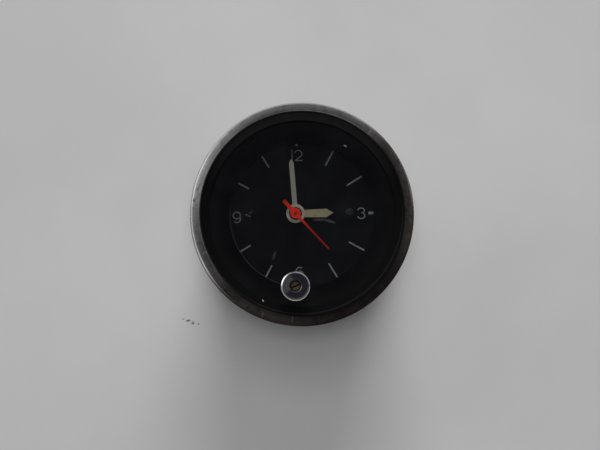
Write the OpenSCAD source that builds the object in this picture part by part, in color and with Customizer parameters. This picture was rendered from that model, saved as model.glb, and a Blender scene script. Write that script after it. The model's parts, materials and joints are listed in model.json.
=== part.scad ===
// Car dashboard clock, in millimetres
// Origin on the case axis at the panel face, +Z out towards the viewer, +Y towards twelve o'clock

/* [Case] */
// Outside diameter of the can that goes through the panel
case_d = 51.6; // [50:0.1:54]
// Sheet thickness of the can
case_wall = 0.8; // [0.6:0.1:1.2]
// Length of the can behind the panel
case_depth = 38; // [36:0.5:50]
// Outside radius of the can's rear corner
case_corner = 1.8; // [1:0.1:3]
// How far studs, blade and lamp holder stand out behind the can
rear_reach = 13; // [10:0.5:18]

/* [Bezel] */
// Outside diameter of the bezel
bezel_d = 60; // [58:0.5:64]
// Height of the bezel in front of the panel
bezel_h = 6; // [5.6:0.1:8]
// Diameter of the opening in the bezel's front
bezel_opening_d = 53.7; // [50:0.1:56]
// Thickness of the lip rolled behind the case flange
bezel_lip = 0.5; // [0.4:0.1:0.8]
// How far the front band falls from its crest to its outer edge
band_drop = 0.55; // [0.4:0.05:1.2]
// How far the side draws in from the rear edge to the front band
bezel_flare = 0.7; // [0.4:0.05:1.2]

/* [Glass and mask] */
// Thickness of the glass
lens_t = 1.8; // [1.2:0.1:2.2]
// Width of the black seal that shows inside the bezel
seal_show = 2.1; // [1:0.1:3]
// Diameter of the mask's opening over the dial
mask_d = 38.6; // [36:0.2:42]
// Width of the flat lip around the mask's opening
mask_lip = 1.3; // [0.6:0.1:2]
// Sheet thickness of the mask
mask_sheet = 0.5; // [0.3:0.1:0.8]
// Height of the mask's lip over the dial
mask_rise = 1.4; // [0.9:0.1:2]

/* [Dial] */
// Depth of the dial below the bezel's front
dial_depth = 10; // [9:0.1:12]
// Thickness of the dial
dial_t = 0.5; // [0.3:0.1:0.8]
// Diameter of the dial
dial_d = 47; // [44:0.2:48]
// Sideways place of the hands' arbor from the case axis
arbor_x = -1.7; // [-1.8:0.05:0.5]
// Place of the hands' arbor up from the case axis
arbor_y = 0.3; // [-0.5:0.1:0.5]

/* [Hands] */
// Thickness of the hour and minute hands
hand_t = 0.3; // [0.2:0.05:0.5]
// Height from one hand's underside to the next one's
hand_pitch = 1.05; // [0.9:0.05:1.3]
// Length of the hour hand from the arbor
hour_len = 10.2; // [8:0.1:12]
// Width of the hour hand at its shoulder
hour_w = 2.3; // [1.5:0.1:3]
// Width of the hour hand at its root
hour_root_w = 2; // [1.5:0.1:3]
// Length of the minute hand from the arbor
minute_len = 14.6; // [12:0.1:16]
// Width of the minute hand
minute_w = 1.3; // [1:0.1:2]
// Diameter of the ring at the root of the hour and minute hands
hand_ring_d = 5.1; // [4.4:0.1:6]
// Length of the seconds hand from the arbor
seconds_len = 13.3; // [11:0.1:16]
// Width of the seconds hand
seconds_w = 0.6; // [0.5:0.05:1.2]
// Length of the seconds hand's tail
tail_len = 4.8; // [3:0.1:6]
// Width of the seconds hand's tail
tail_w = 1; // [0.6:0.05:1.4]
// Diameter of the seconds hand's boss
seconds_boss_d = 3.05; // [2.4:0.05:3.3]
// Direction of the hour hand at rest
hour_angle = 1.4; // [0:0.1:359]
// Direction of the minute hand at rest
minute_angle = 94.8; // [0:0.1:359]
// Direction of the seconds hand at rest
seconds_angle = 313; // [0:1:359]

/* [Setting knob] */
// Sideways place of the setting stem from the case axis
stem_x = -1.65; // [-2.5:0.05:0.5]
// Place of the setting stem up from the case axis
stem_y = -19.5; // [-19.8:0.1:-18.6]
// Diameter of the stem
stem_d = 2; // [1.6:0.1:2.2]
// Diameter of the knob
knob_d = 7.8; // [6:0.1:9]
// Height of the knob
knob_h = 4.2; // [3.6:0.1:6]
// Radius of the knob's rounded front edge
knob_round = 0.6; // [0.3:0.05:1]
// How far the knob's face is dished towards its middle
knob_dish = 0.1; // [0.05:0.05:0.5]
// Diameter of the recess for the knob's screw
knob_recess_d = 2.9; // [2.8:0.1:4]
// Diameter of the knob screw's head
knob_screw_d = 2.3; // [2.2:0.1:2.6]
// Direction of the slot in the knob's screw
screw_angle = 23; // [0:1:179]
// How far the knob is pushed in to set the hands
knob_push = 2.2; // [1.6:0.1:2.4]

/* [Motion work] */
// Teeth of the cannon pinion
cannon_n = 12; // [12]
// Teeth of the motion wheel
motion_n = 36; // [36]
// Teeth of the motion wheel's pinion
motion_pinion_n = 10; // [10]
// Teeth of the hour wheel
hour_n = 40; // [40]
// Teeth of the setting pinion
set_n = 16; // [16]
// Space between the dial and the front plate
motion_gap = 5; // [4.9:0.1:6]

/* [Going train] */
// Teeth of the centre wheel
centre_n = 64; // [64]
// Leaves of the third, seconds and escape pinions
leaf_n = 8; // [8]
// Teeth of the third wheel
third_n = 60; // [60]
// Teeth of the fourth wheel
fourth_n = 60; // [60]
// Teeth of the escape wheel
escape_n = 20; // [20]
// Distance from the hands' arbor to the third arbor
third_dist = 9; // [8.6:0.1:9.2]
// Distance from the hands' arbor to the escape arbor
escape_dist = 9; // [8.8:0.1:9.2]
// Diameter of the escape wheel
escape_d = 7.2; // [7:0.1:7.4]
// Thickness of the train wheels
wheel_t = 0.6; // [0.4:0.1:0.8]
// Diameter of the balance wheel
balance_d = 9.2; // [8:0.1:9.4]
// Turns of the hairspring
hairspring_turns = 4; // [3:1:5]

/* [Movement frame] */
// Diameter of the two plates
plate_d = 45.6; // [45:0.1:46]
// Thickness of the plates
plate_t = 1.2; // [1:0.1:1.6]
// Space between the plates
train_gap = 13; // [13:0.1:14]
// Diameter of the pillars
pillar_d = 2.8; // [2.4:0.1:3.2]
// Diameter of the circle that the pillars stand on
pillar_ring_d = 41; // [40:0.1:42]
// Diameter of the case posts
post_d = 4.4; // [4:0.1:5]

/* [Rewinding magnet] */
// Diameter of the winding
coil_d = 7.2; // [6:0.1:8]
// Length of the bobbin
coil_len = 14; // [13:0.1:14.4]
// Diameter of the iron core
core_d = 2.6; // [2:0.1:3]
// Thickness of the two poles
pole_t = 1.4; // [1:0.1:1.6]

/* [Back of the case] */
// Diameter of the circle through both bracket studs
stud_pcd = 30; // [28:0.5:32]
// Diameter of the bracket studs
stud_d = 4; // [3:0.5:4]
// Width of the power blade
blade_w = 6.3; // [4.8:0.1:6.4]
// Thickness of the power blade
blade_t = 0.8; // [0.5:0.1:1]
// Diameter of the lamp holder's body
lamp_holder_d = 9; // [8:0.1:10]

/* [Hidden] */
$fn = 48;
run = 0.05;
gap = 0.3;
tiny = 0.01;

// Heights of the stack, front to back
z_lip = bezel_lip;
flange_t = 0.8;
z_flange = z_lip + flange_t;
z_lens0 = z_flange + 0.8;
z_lens1 = z_lens0 + lens_t;
bezel_front = 0.9;
z_seal = bezel_h - bezel_front;
dial_z = bezel_h - dial_depth;
z_dial0 = dial_z - dial_t;
z_f1 = z_dial0 - motion_gap;
z_f0 = z_f1 - plate_t;
z_b1 = z_f0 - train_gap;
z_b0 = z_b1 - plate_t;
z_in = case_wall - case_depth;
z_foot = -case_depth - rear_reach;
z_hour = dial_z + hand_pitch + 0.15;
z_minute = z_hour + hand_pitch;
z_seconds = z_minute + hand_pitch;
z_knob = z_lens1 + knob_push + 0.7;

// Radii of the case and the front
case_r = case_d / 2;
case_in = case_r - case_wall;
bezel_r = bezel_d / 2;
open_r = bezel_opening_d / 2;
shoulder_r = bezel_r - bezel_flare;
band_round = 0.9;
crest_round = 0.5;
z_shoulder = bezel_h - band_drop - band_round;
bezel_sheet = 0.6;
bezel_in = shoulder_r - bezel_sheet;
lip_in = case_r + 0.6;
flange_r = bezel_in - 0.1;
lens_r = flange_r - 0.4;
seal_in = open_r - seal_show;
mask_r = mask_d / 2;
mask_top_r = seal_in;
z_mask_lip = dial_z + mask_rise;

// Coaxial arbors at the middle, from the inside out
seconds_r = 0.35;
centre_bore = seconds_r + run;
centre_r = centre_bore + 0.35;
cannon_bore = centre_r + 0.02;
cannon_r = cannon_bore + 0.38;
hour_bore = cannon_r + run;
hour_pipe_r = hour_bore + 0.5;
bush_r = cannon_r + 0.55;
stem_r = stem_d / 2;

// Places in the movement, counted from the hands' arbor. The gears between arbor and stem have a half-sum
// of fifty teeth, and a line a little shorter than that puts the motion wheel beside it
arbor = [arbor_x, arbor_y];
stem = [stem_x, stem_y] - arbor;
stem_dist = norm(stem);
line_teeth = 49.755;
motion_m = stem_dist / line_teeth;
motion_dist = motion_m * (cannon_n + motion_n) / 2;
set_dist = motion_m * (motion_n + set_n) / 2;
hour_m = motion_dist * 2 / (motion_pinion_n + hour_n);
motion_along = (motion_dist^2 - set_dist^2 + stem_dist^2) / (2 * stem_dist);
motion_side = sqrt(max(0, motion_dist^2 - motion_along^2));
stem_dir = stem / stem_dist;
motion = motion_along * stem_dir + motion_side * [-stem_dir[1], stem_dir[0]];
third_dir = 150;
third = third_dist * [cos(third_dir), sin(third_dir)];
escape_dir = 40;
escape = escape_dist * [cos(escape_dir), sin(escape_dir)];
lever_dir = -35;
lever_u = [cos(lever_dir), sin(lever_dir)];
pallet = escape + (escape_d / 2 + 0.8) * lever_u;
balance = pallet + (balance_d / 2 + 1) * lever_u;
centre_m = 2 * third_dist / (centre_n + leaf_n);
third_m = 2 * third_dist / (third_n + leaf_n);
fourth_m = 2 * escape_dist / (fourth_n + leaf_n);
pillar_at = [for (a = [95, 235, 335]) pillar_ring_d / 2 * [cos(a), sin(a)]];
post_at = [for (a = [35, 155, 275]) 17 * [cos(a), sin(a)]];
post_bore = post_d * 0.28;
foot_at = [[14.5, 11], [-14.5, 11]];

// Heights in the train
z_centre = z_f0 - 1.5;
z_armature = z_f0 - 4.2;
z_ratchet = z_armature + 0.9;
z_escape = z_f0 - 4.9;
z_lever = z_escape + wheel_t + 0.5;
z_third = z_b1 + 5.4;
z_fourth = z_b1 + 2.4;
z_spiral = z_b1 + 1;
z_balance = z_b1 + 2.2;
arbor_r = 0.45;
pivot_r = 0.25;

// Magnet and armature
coil_y = -13.2;
coil_z = z_f0 - 6.5;
core_r = core_d / 2;
pole_x = coil_len / 2 + 0.1;
pole_face = pole_x + pole_t;
pole_top = z_armature - 0.5;
strike_x = -pole_face - 0.25;
strike_y = coil_y + 1.6;
spring_y = strike_y + 5.5;
post_x = strike_x - 7.5;
contact = [post_x - 0.9, strike_y + 1.2];

// Setting stem
cup_in = stem_r + 0.75;
cup_r = cup_in + 0.4;
z_cup = z_f1 - 6;
z_washer = z_f1 + 2.1;
z_set = z_f1 + 2.6;

// Back of the case
neck_r = stud_d / 2 + 0.25;
blade_y = -8.4;
lamp_y = 10;
lamp_r = lamp_holder_d / 2;
lamp_base_r = lamp_r - 1.9;
bulb_r = lamp_base_r - 0.4;
lamp_in = lamp_base_r * 1.9;
lamp_cap = lamp_base_r * 1.2;
bulb_len = lamp_base_r * 1.1;
holder_rise = lamp_cap - 0.2;

// One tooth's outline, as angles and radii about its middle
function tooth(n, m, add, ded, fill, i) =
    let (r = n * m / 2, a = 360 / n * i, h = 90 / n * fill)
    [for (p = [[-h, r - ded * m], [-h, r], [-0.74 * h, r + 0.5 * add * m], [-0.32 * h, r + add * m],
               [0.32 * h, r + add * m], [0.74 * h, r + 0.5 * add * m], [h, r], [h, r - ded * m]])
        p[1] * [cos(a + p[0]), sin(a + p[0])]];

function gear_points(n, m, add, ded, fill) =
    [for (i = [0 : n - 1]) each tooth(n, m, add, ded, fill, i)];

// Phase that puts gear b's space on gear a's tooth along the line from a to b
function mesh_phase(dir, na, nb, phase_a) = dir + 180 + 180 / nb - na / nb * (phase_a - dir);

function dir_of(v) = atan2(v[1], v[0]);

// Points of an arc about a centre, for lathe outlines
function arc_points(c, r, a0, a1, n) =
    [for (i = [0 : n]) c + r * [cos(a0 + (a1 - a0) * i / n), sin(a0 + (a1 - a0) * i / n)]];

module at(p, z = 0) {
    translate([arbor_x + p[0], arbor_y + p[1], z]) children();
}

module rod(r, z0, z1) {
    translate([0, 0, z0]) cylinder(r = r, h = z1 - z0);
}

module tube(r_out, r_in, z0, z1) {
    difference() {
        rod(r_out, z0, z1);
        rod(r_in, z0 - 1, z1 + 1);
    }
}

// Flat bar between two points, for levers
module bar(p, q, w, z0, t) {
    translate([p[0], p[1], z0]) rotate(dir_of(q - p))
        translate([0, -w / 2, 0]) cube([norm(q - p), w, t]);
}

module leaves(n, m, t) {
    linear_extrude(t) polygon(gear_points(n, m, 0.4, 1.3, 0.8));
}

module wheel(n, m, t, bore, hub) {
    rim = n * m / 2 - 2.6 * m;
    difference() {
        linear_extrude(t) polygon(gear_points(n, m, 0.95, 0.95, 0.9));
        rod(bore, -1, t + 1);
        difference() {
            tube(rim, hub, -1, t + 1);
            for (a = [0, 90]) rotate(a) translate([-rim, -0.16 * rim / 2, -2]) cube([2 * rim, 0.16 * rim, t + 4]);
        }
    }
}

// Arbor between the plates with a pivot at each end
module pivoted(r) {
    rod(r, z_b1 + 0.15, z_f0 - 0.15);
    rod(pivot_r, z_b0 + 0.15, z_f1 - 0.15);
}

// Coil of round wire, swept around a helix with eight sides
module coil_of_wire(r, wire, height, turns) {
    steps = turns * 16;
    sides = 8;
    rise = height - 2 * wire;
    function ring(i) = let (a = 360 * turns * i / steps, z = wire + rise * i / steps)
        [for (k = [0 : sides - 1]) let (b = 360 * k / sides)
            [(r + wire * cos(b)) * cos(a), (r + wire * cos(b)) * sin(a), z + wire * sin(b)]];
    points = [for (i = [0 : steps]) each ring(i)];
    sides_of = [for (i = [0 : steps - 1]) for (k = [0 : sides - 1])
        let (k2 = (k + 1) % sides)
        each [[i * sides + k, (i + 1) * sides + k, (i + 1) * sides + k2],
              [i * sides + k, (i + 1) * sides + k2, i * sides + k2]]];
    first = [for (k = [1 : sides - 2]) [0, k, k + 1]];
    last = [for (k = [1 : sides - 2]) [steps * sides, steps * sides + k + 1, steps * sides + k]];
    polyhedron(points, concat(sides_of, first, last), convexity = 10);
}

module slotted_head(r, t, slot) {
    difference() {
        cylinder(r = r, h = t);
        translate([-r - 1, -slot / 2, t * 0.5]) cube([2 * r + 2, slot, t]);
    }
}

// Front of the clock

module bezel() {
    color("silver") rotate_extrude($fn = 96) polygon(concat(
        [[lip_in, 0], [bezel_r - 0.3, 0], [bezel_r, 0.25], [bezel_r, 0.6], [shoulder_r, z_shoulder - 0.2]],
        arc_points([shoulder_r - band_round, z_shoulder], band_round, 0, 65, 4),
        arc_points([open_r + crest_round, bezel_h - crest_round], crest_round, 65, 180, 6),
        [[open_r, z_seal], [bezel_in - 0.4, z_seal], [bezel_in, z_seal - 0.4], [bezel_in, z_lip], [lip_in, z_lip]]));
}

module lens() {
    color("lightblue", 0.3) difference() {
        rod(lens_r, z_lens0, z_lens1, $fn = 96);
        translate([stem_x, stem_y, 0]) rod(stem_r + 0.2, z_lens0 - 1, z_lens1 + 1);
    }
}

module lens_seal() {
    color("dimgray") rotate_extrude($fn = 96) polygon([[seal_in, z_lens1], [lens_r, z_lens1], [lens_r, z_seal],
        [open_r - 0.05, z_seal], [open_r - 0.5, z_seal - 0.15], [seal_in, z_lens1 + 0.3]]);
}

module mask_ring() {
    foot = mask_r + mask_lip;
    color("black") difference() {
        rotate_extrude($fn = 96) polygon([[lens_r, z_lens0], [mask_top_r, z_lens0], [foot, z_mask_lip],
            [mask_r + 0.15, z_mask_lip], [mask_r, z_mask_lip - 0.15], [mask_r, z_mask_lip - mask_sheet],
            [foot + 0.3, z_mask_lip - mask_sheet], [case_in - 0.5, z_flange - 0.3], [case_in - 0.5, z_flange],
            [lens_r, z_flange]]);
        translate([stem_x, stem_y, 0]) rod(stem_r + 0.5, z_mask_lip - 2, z_lens0 - 0.6);
    }
}

module dial() {
    color([0.06, 0.06, 0.07]) {
        difference() {
            rod(dial_d / 2, z_dial0, dial_z, $fn = 96);
            at([0, 0]) rod(hour_pipe_r + gap, z_dial0 - 1, dial_z + 1);
            at(stem) rod(stem_r + gap, z_dial0 - 1, dial_z + 1);
        }
        for (p = foot_at) at(p) rod(0.8, z_f0, z_dial0 + tiny);
    }
}

module can() {
    c = case_corner;
    root_r = case_r + min(0.4, (flange_r - case_r) / 2);
    w = case_wall;
    color("gray") difference() {
        rotate_extrude($fn = 96) polygon(concat(
            [[0, z_in], [0, -case_depth]],
            arc_points([case_r - c, c - case_depth], c, -90, 0, 5),
            [[case_r, 0], [root_r, z_lip], [flange_r, z_lip], [flange_r, z_flange], [case_in, z_flange]],
            arc_points([case_r - c, c - case_depth], c - w, 0, -90, 5)));
        for (s = [-1, 1]) translate([s * stud_pcd / 2, 0, 0]) rod(neck_r, -case_depth - 1, z_in + 1);
        translate([0, blade_y, 0]) rod(4, -case_depth - 1, z_in + 1);
        translate([0, lamp_y, 0]) rod(lamp_r, -case_depth - 1, z_in + 1);
        for (p = post_at) at(p) rod(post_bore + gap, -case_depth - 1, z_in + 1);
    }
}

// Setting knob and stem

module setting_knob() {
    r = knob_d / 2;
    q = knob_recess_d / 2;
    color("silver") translate([stem_x, stem_y, z_knob]) rotate_extrude($fn = 64) polygon(concat(
        [[stem_r, 0], [r - 0.5, 0], [r, 0.5]],
        arc_points([r - knob_round, knob_h - knob_round], knob_round, 0, 90, 6),
        [[r - knob_round - 0.5, knob_h - knob_dish / 2], [q + 0.15, knob_h - knob_dish], [q, knob_h - knob_dish - 0.15]],
        [[q, knob_h - 1.2], [0.65, knob_h - 1.2], [0.65, knob_h - 2], [stem_r, knob_h - 2]]));
}

module knob_screw() {
    color("goldenrod") translate([stem_x, stem_y, z_knob + knob_h - 1.2]) {
        rotate(screw_angle) slotted_head(knob_screw_d / 2, 0.75, 0.42);
        rod(0.6, -2.2, tiny);
    }
}

module setting_stem() {
    top = z_knob + knob_h - 2;
    color("lightgray") translate([stem_x, stem_y, 0]) difference() {
        rod(stem_r, z_cup - 1, top);
        rod(0.6, top - 1.6, top + 1);
    }
}

module setting_pinion() {
    phase_m = mesh_phase(dir_of(motion), cannon_n, motion_n, dir_of(motion));
    phase = mesh_phase(dir_of(stem - motion), motion_n, set_n, phase_m);
    color("gold") at(stem, z_set) difference() {
        rotate(phase) leaves(set_n, motion_m, 1.6);
        rod(stem_r, -1, 3);
    }
}

module spring_washer() {
    color("silver") at(stem) tube(cup_in - 0.1, stem_r + run, z_washer, z_set - 0.1);
}

module stem_spring() {
    color("gray") at(stem, z_cup + 0.8) coil_of_wire(stem_r + 0.4, 0.14, z_washer - z_cup - 0.8, 7);
}

module stem_guide() {
    color("gold") at(stem) difference() {
        union() {
            rod(cup_r, z_cup, z_f1 + 0.2);
            rod(cup_r + 0.35, z_f1, z_f1 + 0.2);
        }
        rod(cup_in, z_cup + 0.8, z_f1 + 1);
        rod(stem_r + run, z_cup - 1, z_f1);
    }
}

module stem_clip() {
    color("gray") at(stem) difference() {
        tube(stem_r + 0.8, stem_r, z_cup - 0.5, z_cup - 0.1);
        translate([0, -0.5, z_cup - 1]) cube([stem_r + 2, 1, 2]);
    }
}

// Hands and motion work

module hour_hand() {
    color("beige") at([0, 0], z_hour) rotate(hour_angle) difference() {
        union() {
            cylinder(r = hand_ring_d / 2, h = hand_t);
            linear_extrude(hand_t) polygon([[0, -hour_root_w / 2], [hour_len * 0.82, -hour_w / 2], [hour_len, 0],
                [hour_len * 0.82, hour_w / 2], [0, hour_root_w / 2]]);
        }
        rod(hour_pipe_r, -1, hand_t + 1);
    }
}

module minute_hand() {
    color("beige") at([0, 0], z_minute) rotate(minute_angle) difference() {
        union() {
            cylinder(r = hand_ring_d / 2, h = hand_t);
            linear_extrude(hand_t) polygon([[0, -minute_w / 2], [minute_len - 0.95, -minute_w / 2],
                [minute_len, -0.15], [minute_len, 0.15], [minute_len - 0.95, minute_w / 2], [0, minute_w / 2]]);
        }
        rod(bush_r, -1, hand_t + 1);
    }
}

module minute_bush() {
    color("darkgoldenrod") at([0, 0]) tube(bush_r, cannon_r, z_minute - 0.25, z_minute + hand_t);
}

module seconds_hand() {
    color("red") at([0, 0], z_seconds) rotate(seconds_angle) {
        difference() {
            union() {
                cylinder(r = seconds_boss_d / 2, h = 0.35);
                translate([tail_w / 2 - tail_len, -tail_w / 2, 0]) cube([tail_len, tail_w, 0.2]);
                translate([tail_w / 2 - tail_len, 0, 0]) cylinder(r = tail_w / 2, h = 0.2);
                translate([0, -seconds_w / 2, 0]) cube([seconds_len, seconds_w, 0.2]);
                translate([0, 0, -0.4]) cylinder(r = 0.8, h = 0.5);
            }
            rod(seconds_r, -2, 2);
        }
    }
}

module cannon_pinion() {
    color("gold") at([0, 0]) difference() {
        union() {
            translate([0, 0, z_f1 + 0.2]) rotate(dir_of(motion)) leaves(cannon_n, motion_m, 1.3);
            rod(cannon_r, z_f1 + 0.2, z_minute + hand_t);
        }
        rod(cannon_bore, z_f1, z_minute + 1);
    }
}

module motion_wheel() {
    phase = mesh_phase(dir_of(motion), cannon_n, motion_n, dir_of(motion));
    color("gold") at(motion, z_f1 + 0.4) difference() {
        union() {
            rotate(phase) wheel(motion_n, motion_m, 0.8, 0.75, 2.4);
            translate([0, 0, 0.8 - tiny]) rotate(dir_of(motion) + 180) leaves(motion_pinion_n, hour_m, 1.8);
        }
        rod(0.75, -1, 4);
    }
}

module motion_post() {
    color("lightgray") at(motion) {
        rod(0.7, z_f0, z_f1 + 3.4);
        rod(1.1, z_f1, z_f1 + 0.3);
        rod(1.1, z_f1 + 3.1, z_f1 + 3.5);
    }
}

module hour_wheel() {
    phase = dir_of(motion) + 180 / hour_n;
    color("gold") at([0, 0]) difference() {
        union() {
            translate([0, 0, z_f1 + 1.8]) rotate(phase) wheel(hour_n, hour_m, 0.7, hour_bore, 3);
            rod(hour_pipe_r, z_f1 + 1.8, z_hour + hand_t);
        }
        rod(hour_bore, z_f1, z_hour + 1);
    }
}

// Going train

module centre_arbor() {
    color("lightgray") at([0, 0]) tube(centre_r, centre_bore, z_centre - 1, z_minute + hand_t - 0.1);
}

module centre_wheel() {
    color("gold") at([0, 0], z_centre) {
        rotate(third_dir) wheel(centre_n, centre_m, wheel_t, centre_r, 2);
        tube(1.6, centre_r, -0.6, tiny);
    }
}

module third_arbor() {
    color("lightgray") at(third) {
        pivoted(arbor_r);
        translate([0, 0, z_centre - 0.5]) rotate(mesh_phase(third_dir, centre_n, leaf_n, third_dir))
            leaves(leaf_n, centre_m, wheel_t + 1);
    }
}

module third_wheel() {
    color("gold") at(third, z_third) {
        rotate(third_dir + 180) wheel(third_n, third_m, wheel_t, arbor_r, 1.6);
        tube(1.1, arbor_r, wheel_t - tiny, wheel_t + 0.6);
    }
}

module ratchet_wheel() {
    n = 30;
    r = 2.9;
    color("gold") at(third, z_ratchet) difference() {
        linear_extrude(wheel_t) polygon([for (i = [0 : n - 1]) each
            [r * [cos(12 * i), sin(12 * i)], (r - 0.3) * [cos(12 * i + 1), sin(12 * i + 1)]]]);
        rod(arbor_r, -1, 2);
    }
}

module seconds_arbor() {
    color("lightgray") at([0, 0]) {
        rod(seconds_r, z_b1 + 0.15, z_seconds + 0.6);
        rod(pivot_r, z_b0 + 0.15, z_b1 + 0.2);
        translate([0, 0, z_third - 0.5]) rotate(mesh_phase(third_dir + 180, third_n, leaf_n, third_dir + 180))
            leaves(leaf_n, third_m, wheel_t + 1);
    }
}

module fourth_wheel() {
    color("gold") at([0, 0], z_fourth) {
        rotate(escape_dir) wheel(fourth_n, fourth_m, wheel_t, seconds_r, 1.4);
        tube(1, seconds_r, wheel_t - tiny, wheel_t + 0.6);
    }
}

module escape_arbor() {
    color("lightgray") at(escape) {
        pivoted(arbor_r);
        translate([0, 0, z_fourth - 0.5]) rotate(mesh_phase(escape_dir, fourth_n, leaf_n, escape_dir))
            leaves(leaf_n, fourth_m, wheel_t + 1);
    }
}

module escape_wheel() {
    r = escape_d / 2;
    pitch = 360 / escape_n;
    color("gold") at(escape, z_escape) rotate(lever_dir + 45 - pitch / 4) difference() {
        linear_extrude(wheel_t) polygon([for (i = [0 : escape_n - 1]) for (p = [[-0.3, 0.8], [-0.05, 0], [0.05, 0], [0.14, 0.8]])
            (r - p[1]) * [cos(pitch * (i + p[0])), sin(pitch * (i + p[0]))]]);
        rod(arbor_r, -1, 2);
        difference() {
            tube(r - 1.3, 1.1, -1, 2);
            for (a = [0, 90]) rotate(a) translate([-r, -0.25, -2]) cube([2 * r, 0.5, 5]);
        }
    }
}

// Pins of the lever stand just off the teeth at rest and drop between them at each end of its swing
module pallet_lever() {
    pin_r = 0.15;
    pin_orbit = escape_d / 2 + pin_r + 0.05;
    pins = [for (s = [-1, 1]) escape + pin_orbit * [cos(lever_dir + s * 43.95), sin(lever_dir + s * 43.95)]];
    reach = balance_d / 2 + 1 - 1.55;
    color("lightgray") {
        at(pallet) pivoted(0.35);
        translate([arbor_x, arbor_y, 0]) {
            translate([pallet[0], pallet[1], z_lever]) cylinder(r = 0.8, h = 0.5);
            for (p = pins) {
                bar(pallet, p, 0.7, z_lever, 0.5);
                translate([p[0], p[1], z_escape - 0.2]) cylinder(r = pin_r, h = z_lever - z_escape + 0.7);
                translate([p[0], p[1], z_lever]) cylinder(r = 0.35, h = 0.5);
            }
            difference() {
                bar(pallet, pallet + reach * lever_u, 1, z_lever, 0.5);
                bar(pallet + (reach - 0.6) * lever_u, pallet + (reach + 1) * lever_u, 0.46, z_lever - 1, 3);
            }
        }
    }
}

module balance_staff() {
    color("lightgray") at(balance) {
        pivoted(0.4);
        rod(1, z_spiral - 0.1, z_spiral + 0.8);
        rod(1.5, z_lever + 1, z_lever + 1.4);
        rotate(lever_dir + 180) translate([1.2, 0, 0]) rod(0.16, z_lever - 0.1, z_lever + 1.1);
    }
}

module balance_wheel() {
    r = balance_d / 2;
    color("gold") at(balance, z_balance) {
        tube(r, r - 0.9, 0, 1);
        tube(1.1, 0.4, 0, 1);
        difference() {
            translate([-r + 0.5, -0.4, 0.2]) cube([2 * r - 1, 0.8, 0.5]);
            rod(0.4, -1, 2);
        }
    }
}

module hairspring() {
    half = 0.06;
    pitch = 1.95 / hairspring_turns;
    steps = hairspring_turns * 24;
    end = 200;
    function spiral(i, side) = let (a = end - 360 * hairspring_turns * (1 - i / steps),
        r = 1 + pitch * hairspring_turns * i / steps + side) r * [cos(a), sin(a)];
    color("steelblue") at(balance, z_spiral) linear_extrude(0.5) polygon(concat(
        [for (i = [0 : steps]) spiral(i, 0)], [for (i = [steps : -1 : 0]) spiral(i, 2 * half)]));
}

module hairspring_stud() {
    a = 203.5;
    color("gold") at(balance) rotate(a) translate([2.6, -0.1, z_b1]) cube([0.9, 0.7, 1.5]);
}

// Index that turns on a boss around the balance's rear bearing, with two pins astride the hairspring
module regulator() {
    a = 150;
    color("lightgray") at(balance, z_b1 + 0.1) {
        tube(2, 1.25, 0, 0.4);
        difference() {
            union() {
                rotate(a) translate([0, -0.4, 0]) cube([3.5, 0.8, 0.4]);
                rotate(-35) translate([0, -0.5, 0]) cube([6, 1, 0.4]);
            }
            rod(1.25, -1, 1);
        }
        for (r = [2.65, 3.2]) rotate(a) translate([r, 0, 0]) cylinder(r = 0.13, h = 1.3, $fn = 16);
    }
}

// Rewinding magnet

module magnet_core() {
    color("darkgray") at([0, 0]) {
        translate([-pole_face, coil_y, coil_z]) rotate([0, 90, 0]) cylinder(r = core_r, h = 2 * pole_face);
        for (x = [-pole_face, pole_x]) translate([x, coil_y - 4.2, z_b1]) cube([pole_t, 7.9, pole_top - z_b1]);
    }
}

module bobbin() {
    color("saddlebrown") at([0, coil_y], coil_z) rotate([0, 90, 0]) difference() {
        union() {
            rod(core_r + 0.6, -coil_len / 2, coil_len / 2);
            for (x = [-coil_len / 2, coil_len / 2 - 0.8]) rod(coil_d / 2 + 0.7, x, x + 0.8);
        }
        rod(core_r, -coil_len, coil_len);
    }
}

module winding() {
    color("peru") at([0, coil_y], coil_z) rotate([0, 90, 0])
        tube(coil_d / 2, core_r + 0.6, 0.8 - coil_len / 2, coil_len / 2 - 0.8);
}

module armature() {
    heel = [strike_x - 0.8, strike_y];
    color("darkgray") translate([arbor_x, arbor_y, 0]) difference() {
        union() {
            translate([third[0], third[1], z_armature]) cylinder(r = 1.6, h = 0.7);
            bar(third, heel, 2, z_armature, 0.7);
            translate([strike_x - 1.6, strike_y - 1.4, pole_top - 3.2]) cube([1.6, 2.8, z_armature - pole_top + 3.9]);
            translate([strike_x - 0.9, spring_y, z_armature - 1.4]) cylinder(r = 0.35, h = 1.5);
            translate([third[0], third[1], z_armature]) rotate(-60) translate([3.02, -0.3, 0]) cube([0.5, 0.6, 1.5]);
            translate([third[0], third[1], z_armature]) rotate(-60) translate([0.9, -0.5, 0]) cube([2.6, 1, 0.7]);
        }
        translate([third[0], third[1], 0]) rod(arbor_r + run, z_armature - 1, z_armature + 2);
    }
}

module spring_post() {
    color("lightgray") at([post_x, spring_y]) rod(0.5, z_armature - 1.4, z_f1);
}

module drive_spring() {
    span = strike_x - 0.9 - 0.35 - post_x - 0.5;
    color("gray") at([post_x + 0.5, spring_y], z_armature - 0.85) rotate([0, 90, 0]) coil_of_wire(0.5, 0.12, span, 9);
}

module contact_post() {
    color("gold") at(contact) {
        rod(0.5, pole_top - 2, z_f1);
        rod(0.9, pole_top - 2.4, pole_top - 0.9);
    }
}

module contact_insulator() {
    color("saddlebrown") at(contact) {
        tube(1, 0.5, z_f0, z_f1);
        tube(1.5, 0.5, z_f0 - 0.6, z_f0);
    }
}

// Movement frame

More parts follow.
